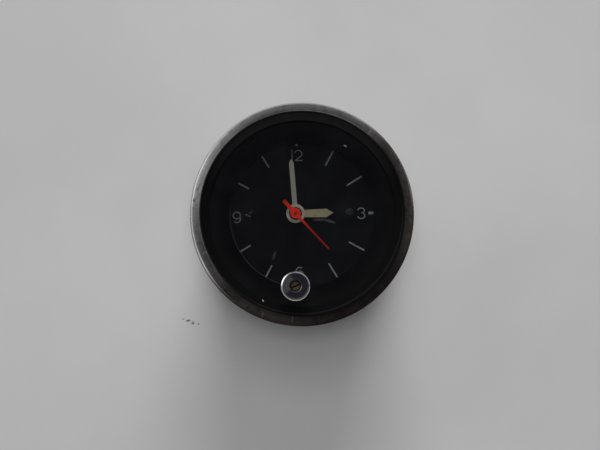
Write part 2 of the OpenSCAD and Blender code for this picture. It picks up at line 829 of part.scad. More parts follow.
module front_plate() {
    color("khaki") at([0, 0]) difference() {
        rod(plate_d / 2, z_f0, z_f1, $fn = 96);
        rod(centre_r + run, z_f0 - 1, z_f1 + 1);
        for (p = [third, escape, pallet, balance]) translate(p) rod(pivot_r + run, z_f0 - 1, z_f1 + 1, $fn = 24);
        translate(stem) rod(cup_r, z_f0 - 1, z_f1 + 1);
        translate(motion) rod(0.7, z_f0 - 1, z_f1 + 1);
        translate([post_x, spring_y]) rod(0.5, z_f0 - 1, z_f1 + 1);
        translate(contact) rod(1, z_f0 - 1, z_f1 + 1);
        for (p = pillar_at) translate(p) rod(0.8, z_f0 - 1, z_f1 + 1);
        for (p = foot_at) translate(p) rod(0.8, z_f0 - 1, z_f1 + 1);
    }
}

module back_plate() {
    color("khaki") at([0, 0]) difference() {
        union() {
            rod(plate_d / 2, z_b0, z_b1, $fn = 96);
            translate(balance) rod(1.2, z_b0, z_b1 + 0.6);
        }
        for (p = [[0, 0], third, escape, pallet, balance]) translate(p) {
            rod(pivot_r + run, z_b0 - 1, z_b1 + 1, $fn = 24);
        }
        translate(balance) rod(0.4 + run, z_b1 + 0.1, z_b1 + 2);
        for (p = pillar_at) translate(p) rod(0.8, z_b0 - 1, z_b1 + 1);
        for (p = post_at) translate(p) rod(post_bore, z_b0 - 1, z_b1 + 1);
    }
}

module pillars() {
    color("gold") for (p = pillar_at) at(p) difference() {
        rod(pillar_d / 2, z_b1, z_f0);
        rod(0.75, z_b1 - 1, z_b1 + 2.5);
        rod(0.75, z_f0 - 2.5, z_f0 + 1);
    }
}

module pillar_screws() {
    color("gray") for (p = pillar_at) at(p) {
        translate([0, 0, z_f1]) slotted_head(1.4, 0.7, 0.35);
        rod(0.75, z_f0 - 2.2, z_f1 + tiny);
        translate([0, 0, z_b0]) rotate([180, 0, 0]) slotted_head(1.4, 0.7, 0.35);
        rod(0.75, z_b0 - tiny, z_b1 + 2.2);
    }
}

module case_posts() {
    color("gold") for (p = post_at) at(p) difference() {
        union() {
            rod(post_d / 2, z_in, z_b0);
            rod(post_bore, z_b0 - tiny, z_b1);
        }
        rod(post_bore, z_in - 1, z_in + post_d + 0.6);
    }
}

module case_screws() {
    color("gray") for (p = post_at) at(p, -case_depth) {
        rotate([180, 0, 0]) slotted_head(post_d / 2 + 0.4, post_d * 0.36, post_d * 0.16);
        rod(post_bore, -tiny, case_wall + post_d);
    }
}

// Back of the case

module mounting_studs() {
    r = stud_d / 2;
    color("silver") for (s = [-1, 1]) translate([s * stud_pcd / 2, 0, 0]) {
        rod(r + 1.2, z_in, z_in + 1.2);
        rod(neck_r, -case_depth, z_in + tiny);
        rod(r, z_foot + 0.4, tiny - case_depth);
        translate([0, 0, z_foot]) cylinder(r1 = r - 0.4, r2 = r, h = 0.4);
    }
}

module power_blade() {
    color("gold") translate([-blade_w / 2, blade_y - blade_t / 2, z_foot]) difference() {
        cube([blade_w, blade_t, z_in + 4 - z_foot]);
        translate([blade_w / 2, 2, 4]) rotate([90, 0, 0]) cylinder(r = 0.85, h = 5);
    }
}

module blade_insulator() {
    color("saddlebrown") translate([0, blade_y, 0]) difference() {
        union() {
            rod(5.2, z_in, z_in + 1.2);
            rod(4, -case_depth - 0.5, z_in + tiny);
            rod(5.2, -case_depth - 2.5, -case_depth);
        }
        translate([-blade_w / 2, -blade_t / 2, -case_depth - 5]) cube([blade_w, blade_t, 10]);
    }
}

module lamp_holder() {
    color([0.15, 0.15, 0.16]) translate([0, lamp_y, 0]) difference() {
        union() {
            rod(lamp_r, z_foot + 0.6, z_in + holder_rise);
            translate([0, 0, z_foot]) cylinder(r1 = lamp_r - 0.6, r2 = lamp_r, h = 0.6);
            rod(lamp_r + 1.4, -case_depth - 1.4, -case_depth);
        }
        rod(lamp_base_r, z_in - lamp_in, z_in + lamp_cap + 1);
    }
}

module lamp() {
    color("white", 0.5) translate([0, lamp_y, 0]) {
        rod(lamp_base_r, z_in - lamp_in, z_in + lamp_cap);
        rod(bulb_r, z_in + lamp_cap - tiny, z_in + lamp_cap + bulb_len);
        translate([0, 0, z_in + lamp_cap + bulb_len]) sphere(r = bulb_r);
    }
}

bezel();
lens();
lens_seal();
mask_ring();
dial();
can();
mounting_studs();
power_blade();
blade_insulator();
lamp_holder();
lamp();
front_plate();
back_plate();
pillars();
pillar_screws();
case_posts();
case_screws();
motion_post();
stem_guide();
stem_spring();
bobbin();
winding();
magnet_core();
drive_spring();
spring_post();
contact_post();
contact_insulator();
hairspring_stud();
regulator();
hairspring();
minute_hand();
minute_bush();
cannon_pinion();
hour_hand();
hour_wheel();
motion_wheel();
seconds_hand();
seconds_arbor();
fourth_wheel();
centre_wheel();
centre_arbor();
third_wheel();
third_arbor();
ratchet_wheel();
escape_wheel();
escape_arbor();
pallet_lever();
balance_wheel();
balance_staff();
armature();
spring_washer();
setting_stem();
setting_pinion();
setting_knob();
knob_screw();
stem_clip();
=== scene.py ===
"""Looks of a car dashboard clock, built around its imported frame.

Lengths are millimetres unless a comment or a docstring says metres.
"""

import json
import logging
import math
from dataclasses import dataclass
from enum import Enum
from typing import Any, Callable, Iterable, Optional, Protocol, Sequence, Union

import bmesh
import bpy
from mathutils import Matrix, Vector

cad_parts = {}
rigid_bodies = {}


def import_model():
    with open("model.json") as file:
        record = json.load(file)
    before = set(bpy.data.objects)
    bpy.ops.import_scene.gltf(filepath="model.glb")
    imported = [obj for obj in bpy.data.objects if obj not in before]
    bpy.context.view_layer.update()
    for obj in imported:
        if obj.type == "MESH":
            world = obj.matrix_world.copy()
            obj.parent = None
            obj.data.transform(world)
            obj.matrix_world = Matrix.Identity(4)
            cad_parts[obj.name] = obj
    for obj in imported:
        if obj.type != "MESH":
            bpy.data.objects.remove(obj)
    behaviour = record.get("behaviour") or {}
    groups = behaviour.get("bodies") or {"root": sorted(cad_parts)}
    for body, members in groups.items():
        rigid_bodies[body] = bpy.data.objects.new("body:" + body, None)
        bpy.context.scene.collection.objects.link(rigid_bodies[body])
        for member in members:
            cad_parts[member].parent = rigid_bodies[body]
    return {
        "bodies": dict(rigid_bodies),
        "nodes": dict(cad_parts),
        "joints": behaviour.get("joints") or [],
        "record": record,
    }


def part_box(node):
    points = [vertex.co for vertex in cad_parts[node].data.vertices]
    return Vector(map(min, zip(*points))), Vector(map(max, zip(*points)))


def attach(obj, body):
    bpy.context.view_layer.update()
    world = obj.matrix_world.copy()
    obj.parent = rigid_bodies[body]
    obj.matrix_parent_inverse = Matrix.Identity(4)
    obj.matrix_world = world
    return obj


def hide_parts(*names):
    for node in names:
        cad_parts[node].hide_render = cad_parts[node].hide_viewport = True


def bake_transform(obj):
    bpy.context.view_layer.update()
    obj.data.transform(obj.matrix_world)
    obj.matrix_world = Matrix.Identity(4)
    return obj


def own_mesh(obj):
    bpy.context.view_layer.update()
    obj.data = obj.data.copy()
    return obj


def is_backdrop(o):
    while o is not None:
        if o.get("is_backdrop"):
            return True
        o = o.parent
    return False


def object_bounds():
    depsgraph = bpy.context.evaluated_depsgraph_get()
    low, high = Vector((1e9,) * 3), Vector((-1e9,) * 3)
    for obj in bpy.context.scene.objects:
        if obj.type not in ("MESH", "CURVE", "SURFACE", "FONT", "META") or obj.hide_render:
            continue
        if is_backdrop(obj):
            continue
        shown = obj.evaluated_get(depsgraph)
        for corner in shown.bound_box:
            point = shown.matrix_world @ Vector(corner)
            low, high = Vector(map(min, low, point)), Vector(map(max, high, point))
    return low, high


LOG = logging.getLogger("clock")
MM = 0.001

Point = tuple[float, float]
Corner = tuple[float, float, float]
Colour = tuple[float, float, float]
Number = Union[int, float]
Mesh = bmesh.types.BMesh
Ring = list[bmesh.types.BMVert]
Piece = bpy.types.Object
Material = bpy.types.Material


class Body(Enum):
    """Moving groups of the clock that new pieces ride on."""

    CASE = "case"
    HOUR = "hour"
    MINUTE = "minute"
    SECONDS = "seconds"
    KNOB = "knob"
    ARMATURE = "armature"


class Grain(Enum):
    """Ways in which a machined surface is marked."""

    TURNED = "turned"
    ROLLED = "rolled"
    WOUND = "wound"
    PLAIN = "plain"


@dataclass(frozen=True)
class Mark:
    """A soft oval mark on the front: its middle, half length and width, turn in degrees, and strength."""

    place: Point
    half: Point
    turn: float = 0.0
    strength: float = 1.0


@dataclass(frozen=True)
class Fade:
    """A darkening outwards from a point, between two distances, to a share of the colour."""

    centre: Point
    start: float
    end: float
    share: float


class Finish(Protocol):
    """Anything that can make a material."""

    def material(self) -> Material:
        """Builds the material."""


# Shader expressions

class Value:
    """A shader socket that can stand in a Python expression."""

    def __init__(self, shading: "Shading", socket: bpy.types.NodeSocket) -> None:
        """Keeps the socket and the tree that it belongs to."""
        self.shading = shading
        self.socket = socket

    def _math(self, operation: str, *operands: Any) -> "Value":
        """Adds one Math node on these operands."""
        return self.shading.node("ShaderNodeMath", {"operation": operation}, dict(enumerate(operands)))

    def __add__(self, other: Any) -> "Value":
        """Sum."""
        return self._math("ADD", self, other)

    def __radd__(self, other: Any) -> "Value":
        """Sum with a number on the left."""
        return self._math("ADD", other, self)

    def __sub__(self, other: Any) -> "Value":
        """Difference."""
        return self._math("SUBTRACT", self, other)

    def __rsub__(self, other: Any) -> "Value":
        """Difference from a number on the left."""
        return self._math("SUBTRACT", other, self)

    def __mul__(self, other: Any) -> "Value":
        """Product."""
        return self._math("MULTIPLY", self, other)

    def __truediv__(self, other: Any) -> "Value":
        """Quotient."""
        return self._math("DIVIDE", self, other)

    def __pow__(self, other: Any) -> "Value":
        """Power."""
        return self._math("POWER", self, other)

    def most(self, other: Any) -> "Value":
        """The larger of two values."""
        return self._math("MAXIMUM", self, other)

    def sine(self) -> "Value":
        """Sine of an angle in radians."""
        return self._math("SINE", self)

    def step(self, low: Number, high: Number) -> "Value":
        """Rises smoothly between two values, or falls where the first is above the second.

        Args:
            low: Where the result is 0.
            high: Where the result is 1.

        Returns:
            A share between 0 and 1.
        """
        settings = {"interpolation_type": "SMOOTHSTEP", "clamp": True}
        inputs = {
            "Value": self, "From Min": min(low, high), "From Max": max(low, high),
            "To Min": float(low > high), "To Max": float(low < high),
        }
        return self.shading.node("ShaderNodeMapRange", settings, inputs)


class Shading:
    """A node tree that is written as expressions."""

    def __init__(self, tree: bpy.types.NodeTree) -> None:
        """Empties a tree and keeps it.

        Args:
            tree: The nodes of a material or of the world.
        """
        tree.nodes.clear()
        self.tree = tree
        self.place: Optional[Value] = None

    def node(
        self, kind: str, settings: dict[str, Any], inputs: dict[Any, Any], output: Union[int, str] = 0
    ) -> Value:
        """Adds a node of any type.

        Args:
            kind: Blender's name of the node type.
            settings: Properties, set before the sockets.
            inputs: Values or links for the sockets, by name or number.
            output: Name or number of the socket to return.

        Returns:
            The wanted output.
        """
        made = self.tree.nodes.new(kind)
        for name, value in settings.items():
            setattr(made, name, value)
        for name, value in inputs.items():
            socket = made.inputs[name]
            if isinstance(value, Value):
                self.tree.links.new(value.socket, socket)
            elif isinstance(value, tuple) and socket.type == "RGBA" and len(value) == 3:
                socket.default_value = (*value, 1.0)
            else:
                socket.default_value = value
        return Value(self, made.outputs[output])

    def position(self) -> Value:
        """The point on the surface.

        Returns:
            Its place in millimetres of the clock's own frame.
        """
        if self.place is None:
            metres = self.node("ShaderNodeTexCoord", {}, {}, "Object")
            scale = {0: metres, "Scale": 1 / MM}
            self.place = self.node("ShaderNodeVectorMath", {"operation": "SCALE"}, scale)
        return self.place

    def axes(self, of: Optional[Value] = None) -> tuple[Value, Value, Value]:
        """The three numbers of a vector.

        Args:
            of: The vector, or the surface point if none is given.

        Returns:
            Its parts across, up and out.
        """
        source = of or self.position()
        split = self.node("ShaderNodeSeparateXYZ", {}, {0: source}).socket.node
        return tuple(Value(self, socket) for socket in split.outputs)

    def radius(self, centre: Point = (0.0, 0.0)) -> Value:
        """Distance from an axis that stands upright on the front.

        Args:
            centre: Where the axis stands.

        Returns:
            The distance.
        """
        x, y, _ = self.axes()
        across, up = x - centre[0], y - centre[1]
        return (across * across + up * up) ** 0.5

    def toward(self, degrees: Number, centre: Point = (0.0, 0.0)) -> Value:
        """How nearly a point lies in one direction from an axis.

        Args:
            degrees: The direction, anticlockwise from the right.
            centre: Where the axis stands.

        Returns:
            1 straight in that direction, falling to -1 in the opposite one.
        """
        x, y, _ = self.axes()
        c, s = math.cos(math.radians(degrees)), math.sin(math.radians(degrees))
        return ((x - centre[0]) * c + (y - centre[1]) * s) / self.radius(centre)

    def stretched(self, x: Number, y: Number, z: Number) -> Value:
        """The surface point with each direction scaled, for streaks."""
        inputs = {0: self.position(), 1: (x, y, z)}
        return self.node("ShaderNodeVectorMath", {"operation": "MULTIPLY"}, inputs)

    def around(self, turns: Number, out: Number) -> Value:
        """Coordinates for radial streaks.

        Args:
            turns: How densely they run round the clock's axis.
            out: How densely they run outwards.

        Returns:
            The coordinates as a vector.
        """
        x, y, z = self.axes()
        radius = self.radius()
        parts = {0: x / radius * turns, 1: y / radius * turns, 2: (radius + z) * out}
        return self.node("ShaderNodeCombineXYZ", {}, parts)

    def noise(
        self, scale: Number, detail: Number = 3.0, at: Optional[Value] = None, rough: Number = 0.55
    ) -> Value:
        """Soft noise between 0 and 1 with so many lumps to a millimetre."""
        inputs = {"Vector": at or self.position(), "Scale": scale, "Detail": detail, "Roughness": rough}
        return self.node("ShaderNodeTexNoise", {}, inputs, "Fac")

    def cells(self, scale: Number) -> Value:
        """Distance to the nearest of scattered points."""
        inputs = {"Vector": self.position(), "Scale": scale}
        return self.node("ShaderNodeTexVoronoi", {}, inputs, "Distance")

    def spot(self, mark: Mark) -> Value:
        """One mark.

        Args:
            mark: Its place, size, turn and strength.

        Returns:
            Its strength in the middle, falling to 0 at the edge.
        """
        x, y, _ = self.axes()
        c, s = math.cos(math.radians(mark.turn)), math.sin(math.radians(mark.turn))
        right, up = x - mark.place[0], y - mark.place[1]
        along = (right * c + up * s) / mark.half[0]
        across = (up * c - right * s) / mark.half[1]
        return (along * along + across * across).step(1.0, 0.1) * mark.strength

    def marked(self, value: Value, marks: Iterable[Mark]) -> Value:
        """The largest of a value and some marks.

        Args:
            value: What is there without the marks.
            marks: The marks, of which there may be none.

        Returns:
            The largest at each point.
        """
        for mark in marks:
            value = value.most(self.spot(mark))
        return value

    def dot(self, vector: Value, way: Corner) -> Value:
        """How far a vector points in a direction."""
        inputs = {0: vector, 1: way}
        return self.node("ShaderNodeVectorMath", {"operation": "DOT_PRODUCT"}, inputs, "Value")

    def tint(self, first: Any, second: Any, share: Any) -> Value:
        """Mixes two colours."""
        inputs = {0: share, 6: first, 7: second}
        return self.node("ShaderNodeMix", {"data_type": "RGBA"}, inputs, 2)

    def bump(self, height: Value, depth: Number, strength: Number = 1.0) -> Value:
        """A normal that follows a height of 0 to 1, where 1 stands so many millimetres proud."""
        inputs = {"Height": height, "Distance": depth * MM, "Strength": strength}
        return self.node("ShaderNodeBump", {}, inputs, "Normal")

    def surface(self, **inputs: Any) -> Value:
        """Adds the main shader; underscores in the names stand for spaces."""
        named = {name.replace("_", " "): value for name, value in inputs.items()}
        return self.node("ShaderNodeBsdfPrincipled", {}, named)

    def show(self, shader: Value, kind: str = "ShaderNodeOutputMaterial") -> None:
        """Links a shader to an output node of this kind."""
        end = self.tree.nodes.new(kind)
        self.tree.links.new(shader.socket, end.inputs["Surface"])


def new_shading(name: str) -> tuple[Material, Shading]:
    """Makes an empty material.

    Args:
        name: The material's name.

    Returns:
        The material and the shading that fills it.
    """
    material = bpy.data.materials.new(name)
    material.use_nodes = True
    return material, Shading(material.node_tree)


def scaled(colour: Colour, share: Number) -> Colour:
    """A lighter or darker form of a colour."""
    return tuple(share * part for part in colour)


# Finishes

@dataclass(frozen=True)
class WornChrome:
    """Old chrome plate of a ring, hazed, pitted and dented, dark and dull towards its lower right, with a
    painted highlight on its left and a painted shade on its upper left.
    """

    name: str
    side_radius: float
    inner_radius: float
    dents: tuple[Mark, ...]
    rubs: tuple[Mark, ...]
    colour: Colour = (0.60, 0.59, 0.585)
    clean: Colour = (0.86, 0.86, 0.87)
    haze: float = 0.2
    # Directions in degrees of the dark part, its darkest part, the bright arc of the outer edge, the painted
    # highlight and the painted shade.
    dark_side: float = -48.0
    darkest_side: float = -55.0
    bright_side: float = 20.0
    painted_highlight_side: float = 162.0
    shaded_side: float = 112.0

    def material(self) -> Material:
        """Builds the material.

        Returns:
            The new material.
        """
        material, s = new_shading(self.name)
        _, y, z = s.axes()
        radius = s.radius()
        cloud = s.noise(0.55, 5.0)
        fine = s.noise(5.0, 4.0)
        scratches = s.noise(1.0, 3.0, s.around(45.0, 0.35)).step(0.50, 0.72)
        pits = s.cells(1.3).step(0.16, 0.07) * s.noise(0.25, 2.0).step(0.50, 0.62)
        specks = s.cells(3.4).step(0.16, 0.06) * s.noise(0.6, 2.0).step(0.52, 0.6)
        dirt = pits.most(specks * 0.7)
        dents = s.marked(s.spot(self.dents[0]), self.dents[1:]) * fine.step(0.30, 0.55)
        scuffed = s.marked(s.noise(1.6, 2.0).step(0.70, 0.76), self.rubs)
        # Dark, dull and matt towards the lower right, darkest near the bottom, except for a short arc of the
        # outer edge.
        lower = s.toward(self.dark_side).step(-0.27, 0.3)
        darkest = s.toward(self.darkest_side).step(0.7, 1.0)
        darkened = radius.step(self.inner_radius + 0.25, self.inner_radius + 0.5) * lower * (1 - self.glint(s))
        outward = radius.step(self.inner_radius + 0.4, self.side_radius + 0.3)
        dark_tone = s.tint((0.066, 0.0570, 0.0575), (0.0155, 0.0132, 0.0138), darkest)
        dark_tone = s.tint((0.006, 0.0055, 0.0058), dark_tone, outward * 0.6 + 0.4)
        dark_tone = s.tint(dark_tone, (0.013, 0.0105, 0.0105), cloud.step(0.46, 0.66) * 0.5)
        dark_tone = s.tint(dark_tone, (0.11, 0.105, 0.105), scratches * fine.step(0.40, 0.62) * 0.16)
        # Browner along the bottom of the outer side, within that dark part.
        rubbed = darkened * y.step(-12.0, -26.0) * s.noise(0.5, 4.0).step(0.46, 0.62) * z.step(0.4, 1.5)
        base = self.plate(s, cloud, fine)
        base = s.tint(base, (0.035, 0.028, 0.022), dirt * 0.85)
        base = s.tint(base, dark_tone, 1 - (1 - darkened) ** 4)
        base = s.tint(base, (0.050, 0.030, 0.029), rubbed * outward * 0.6)
        base = s.tint(base, self.clean, scuffed * (0.6 - darkened * 0.52))
        # Darker along the opening's edge, wider and darker towards the lower right.
        reach = radius - lower * 0.1 - darkest * 0.4
        edge_darkening = reach.step(self.inner_radius + 0.52, self.inner_radius + 0.28)
        base = s.tint(base, s.tint((0.018, 0.018, 0.019), (0.008, 0.008, 0.009), lower), edge_darkening)
        base = s.tint(base, (0.016, 0.0145, 0.0135), dents)
        # From here the dirt mask also holds that edge darkening and the dents.
        dirt = dirt.most(edge_darkening).most(dents)
        rough = self.haze + fine * 0.08 + cloud * 0.10 + scratches * 0.16
        rough = rough + dirt * 0.4 + darkened * 0.2 + scuffed * 0.2
        normal = s.bump(fine * 0.25 - dirt - scratches * 0.2, 0.012, 0.5)
        plated = 1 - dirt.most(darkened) * 0.92
        look = {"Base_Color": base, "Metallic": plated, "Roughness": rough, "Normal": normal}
        s.show(s.surface(**look, Specular_IOR_Level=0.0))
        return material

    def plate(self, s: Shading, cloud: Value, fine: Value) -> Value:
        """Colour of the plate where it is whole.

        Args:
            s: The shading that it belongs to.
            cloud: Broad noise, for tarnish.
            fine: Fine noise, for haze.

        Returns:
            The colour, paler on the side wall, with a painted highlight on the left and a painted shade on
            the upper left near the opening.
        """
        radius = s.radius()
        base = s.tint(self.colour, scaled(self.colour, 0.62), cloud.step(0.42, 0.68) * 0.75)
        base = s.tint(base, scaled(self.colour, 0.5), fine.step(0.50, 0.75) * 0.4)
        # Painted highlight: a lighter narrow sector on the left.
        light = s.toward(self.painted_highlight_side).step(0.965, 0.99)
        base = s.tint(base, self.clean, light * 0.4)
        # Painted shade: a darker sector on the upper left, near the opening.
        shade = s.toward(self.shaded_side).step(0.93, 0.99)
        shade = shade * radius.step(self.inner_radius + 1.1, self.inner_radius + 0.5)
        base = s.tint(base, scaled(self.colour, 0.4), shade * 0.7)
        side = radius.step(self.side_radius - 0.25, self.side_radius)
        return s.tint(base, self.clean, side * 0.85)

    def glint(self, s: Shading) -> Value:
        """The short arc of the outer edge that the dark lower-right part leaves bright.

        Args:
            s: The shading that it belongs to.

        Returns:
            1 on the arc, 0 elsewhere.
        """
        radius = s.radius()
        bright = radius.step(self.side_radius + 0.1, self.side_radius + 0.25)
        bright = bright * radius.step(self.side_radius + 0.6, self.side_radius + 0.5)
        return bright * s.toward(self.bright_side).step(0.945, 0.98)


@dataclass(frozen=True)
class KnobPlate:
    """Bright plate on a small turned knob, whose face carries a painted dark bluish reflection with a paler
    painted reflection on one side, dark painted reflections on its rim, painted shade in its screw recess and
    a brown lower edge.
    """

    name: str
    centre: Point
    face_r: float
    recess_r: float
    dark_rim_reflections: tuple[Mark, ...]
    bright: Colour = (0.74, 0.74, 0.76)
    # The face's dark bluish tone is a painted reflection, and the pale tone is the painted reflection on its
    # left.
    face: Colour = (0.25, 0.245, 0.34)
    pale: Colour = (0.88, 0.82, 0.84)
    brown: Colour = (0.48, 0.29, 0.19)
    painted_reflection_side: float = 165.0
    brown_side: float = -90.0

    def material(self) -> Material:
        """Builds the material.

        Returns:
            The new material.
        """
        material, s = new_shading(self.name)
        radius = s.radius(self.centre)
        cloud = s.noise(0.9, 4.0)
        fine = s.noise(7.0, 4.0)
        # Painted reflection: paler towards the left of the face.
        left = (s.toward(self.painted_reflection_side, self.centre) + cloud * 0.5).step(0.75, 1.0)
        low = (s.toward(self.brown_side, self.centre) + cloud * 0.4).step(0.8, 1.2)
        low = low * radius.step(self.face_r - 0.9, self.face_r - 0.2)
        tone = s.tint(self.face, self.pale, left)
        tone = s.tint(tone, self.brown, low * 0.8)
        sunk = radius.step(self.recess_r + 0.34, self.recess_r + 0.26)
        tone = s.tint(tone, self.bright, sunk * 0.7)
        inside = radius.step(self.face_r + 0.1, self.face_r - 0.1)
        base = s.tint(self.bright, tone, inside)
        # Painted dark reflections where the rim's shine breaks at the top and the right.
        for dark_rim_reflection in self.dark_rim_reflections:
            base = s.tint(base, self.face, s.spot(dark_rim_reflection))
        specks = s.cells(1.8).step(0.13, 0.05) * s.noise(0.9, 2.0).step(0.50, 0.6)
        base = s.tint(base, (0.05, 0.045, 0.04), specks * 0.6)
        # Painted shade inside the screw recess.
        base = s.tint(base, (0.01, 0.01, 0.01), radius.step(self.recess_r + 0.03, self.recess_r - 0.03))
        rough = 0.09 + fine * 0.06 + cloud * 0.05 + specks * 0.3
        normal = s.bump(fine * 0.3 - specks, 0.008, 0.4)
        s.show(s.surface(Base_Color=base, Metallic=1.0, Roughness=rough, Normal=normal))
        return material


@dataclass(frozen=True)
class BareMetal:
    """Machined or rolled metal with the marks of its making and a little tarnish."""

    name: str
    colour: Colour
    tarnish: Colour
    roughness: float
    grain: Grain = Grain.PLAIN
    stain: float = 0.4
    slots: tuple[Mark, ...] = ()
    wire: float = 0.22

    def material(self) -> Material:
        """Builds the material.

        Returns:
            The new material.
        """
        material, s = new_shading(self.name)
        lines = self.lines(s)
        patches = s.noise(0.35, 5.0).step(0.34, 0.80) * self.stain
        specks = s.cells(1.1).step(0.14, 0.05) * s.noise(0.3, 2.0).step(0.54, 0.64) * self.stain
        base = s.tint(self.colour, self.tarnish, patches.most(specks))
        base = s.tint(base, scaled(self.colour, 0.8), lines * 0.35)
        # Painted shade in any screw slots.
        for slot in self.slots:
            base = s.tint(base, (0.012, 0.009, 0.006), s.spot(slot))
        rough = self.roughness + lines * 0.14 + patches * 0.25 + specks * 0.3
        normal = s.bump(lines * 0.5 - specks * 0.6, 0.01, 0.35)
        s.show(s.surface(Base_Color=base, Metallic=1 - specks * 0.7, Roughness=rough, Normal=normal))
        return material

    def lines(self, s: Shading) -> Value:
        """The marks of the making.

        Args:
            s: The shading that they belong to.

        Returns:
            A height between 0 and 1.
        """
        if self.grain is Grain.TURNED:
            return s.noise(1.0, 2.0, s.stretched(0.4, 0.4, 14.0))
        if self.grain is Grain.ROLLED:
            return s.noise(1.0, 3.0, s.stretched(0.25, 9.0, 9.0))
        if self.grain is Grain.WOUND:
            x, _, _ = s.axes()
            return (x * (2 * math.pi / self.wire)).sine() * 0.5 + 0.5
        return s.noise(6.0, 3.0)


@dataclass(frozen=True)
class BlackEnamel:
    """Black paint with a fine tooth and a little dust, which may get paler outwards from an edge that carries
    a painted highlight.
    """

    name: str
    colour: Colour
    roughness: float
    dust: float
    shine: float
    highlight_edge_r: Optional[float] = None
    rim: float = 25.0
    rim_paling: float = 0.0
    paler_side: float = 66.4
    edge_highlight_side: float = 216.9
    dust_colour: Colour = (0.20, 0.19, 0.17)
    edge_highlight_colour: Colour = (0.10, 0.10, 0.10)

    def material(self) -> Material:
        """Builds the material.

        Returns:
            The new material.
        """
        material, s = new_shading(self.name)
        tooth = s.noise(7.0, 3.0)
        cloud = s.noise(0.18, 4.0)
        motes = s.cells(1.6).step(0.09, 0.03) * s.noise(0.5, 2.0).step(0.50, 0.62)
        base = s.tint(self.colour, scaled(self.colour, 1.6), cloud.step(0.35, 0.75))
        dusty = motes * (self.dust * 2) + cloud.step(0.5, 0.9) * (self.dust * 0.25)
        base = s.tint(base, self.dust_colour, dusty)
        if self.highlight_edge_r is not None:
            radius = s.radius()
            # Paler from near the opening out to the rim, most towards the upper right.
            paling = s.toward(self.paler_side).step(0.6, 0.95) * 0.9 + 1
            paling = paling * radius.step(self.highlight_edge_r + 1.0, self.rim) * self.rim_paling
            base = s.tint(base, self.dust_colour, paling)
            # Painted highlight: a lighter arc along the opening's edge on the lower left.
            edge = radius.step(self.highlight_edge_r + 0.2, self.highlight_edge_r + 0.1)
            edge = edge * s.toward(self.edge_highlight_side).step(0.55, 0.95) * 0.35
            base = s.tint(base, self.edge_highlight_colour, edge)
        rough = self.roughness + tooth * 0.12 + cloud * 0.08
        normal = s.bump(tooth, 0.01, 0.3)
        s.show(s.surface(Base_Color=base, Roughness=rough, Normal=normal, Specular_IOR_Level=self.shine))
        return material


@dataclass(frozen=True)
class SealRubber:
    """Dull black rubber of a ring, with painted light that makes it paler and mottled towards the top, a
    painted highlight along its lip at the lower right, and one white flake.
    """

    name: str
    lip_highlight_r: float
    flake: Mark
    colour: Colour = (0.0050, 0.0050, 0.0054)
    pale: Colour = (0.10, 0.10, 0.11)
    white: Colour = (0.40, 0.40, 0.38)
    lip_highlight_side: float = -60.0

    def material(self) -> Material:
        """Builds the material.

        Returns:
            The new material.
        """
        material, s = new_shading(self.name)
        _, y, _ = s.axes()
        radius = s.radius()
        tooth = s.noise(9.0, 4.0)
        cloud = s.noise(0.3, 4.0)
        # Painted highlight: a lighter ring along the lip on the lower right.
        lip = radius.step(self.lip_highlight_r - 0.16, self.lip_highlight_r - 0.05)
        lip = lip * radius.step(self.lip_highlight_r + 0.16, self.lip_highlight_r + 0.05)
        lip = lip * s.toward(self.lip_highlight_side).step(0.2, 0.7)
        # Painted light: paler and mottled towards the top. The pale tone serves both this and the lip's
        # painted highlight.
        dust = y.step(6.0, 26.0) * (0.085 + cloud * 0.12)
        base = s.tint(self.colour, self.pale, dust.most(lip * 0.12))
        base = s.tint(base, self.white, s.spot(self.flake))
        rough = 0.6 + tooth * 0.1 + cloud * 0.1
        normal = s.bump(tooth, 0.015, 0.4)
        s.show(s.surface(Base_Color=base, Roughness=rough, Normal=normal, Specular_IOR_Level=0.06))
        return material


@dataclass(frozen=True)
class Moulding:
    """Moulded plastic with a soft sheen."""

    name: str
    colour: Colour
    roughness: float
    texture: float

    def material(self) -> Material:
        """Builds the material.

        Returns:
            The new material.
        """
        material, s = new_shading(self.name)
        tooth = s.noise(9.0, 4.0)
        cloud = s.noise(0.3, 4.0)
        bloom = tuple(1.9 * part + 0.002 for part in self.colour)
        base = s.tint(self.colour, bloom, cloud.step(0.4, 0.8) * 0.7)
        rough = self.roughness + tooth * 0.1 + cloud * 0.1
        normal = s.bump(tooth, 0.015, self.texture)
        s.show(s.surface(Base_Color=base, Roughness=rough, Normal=normal))
        return material


@dataclass(frozen=True)
class AgedPaint:
    """Paint on a hand or a dial mark, faded, speckled and rubbed at its edges."""

    name: str
    colour: Colour
    faded: Colour
    speck: Colour
    roughness: float = 0.55
    speckle: float = 0.6
    shine: float = 0.3
    chips: tuple[Mark, ...] = ()
    fade: Optional[Fade] = None

    def material(self) -> Material:
        """Builds the material.

        Returns:
            The new material.
        """
        material, s = new_shading(self.name)
        cloud = s.noise(0.45, 4.0)
        grain = s.noise(4.0, 3.0)
        flecks = s.cells(1.5).step(0.13, 0.05) * s.noise(0.7, 2.0).step(0.48, 0.58) * self.speckle
        flecks = s.marked(flecks, self.chips)
        base = s.tint(self.colour, self.faded, cloud.step(0.40, 0.68))
        base = s.tint(base, self.speck, flecks)
        base = s.tint(base, scaled(self.colour, 0.8), grain.step(0.45, 0.8) * 0.4)
        if self.fade is not None:
            far = s.radius(self.fade.centre).step(self.fade.start, self.fade.end)
            base = s.tint(base, scaled(self.colour, self.fade.share), far)
        rough = self.roughness + grain * 0.2
        normal = s.bump(grain - flecks, 0.012, 0.4)
        s.show(s.surface(Base_Color=base, Roughness=rough, Normal=normal, Specular_IOR_Level=self.shine))
        return material


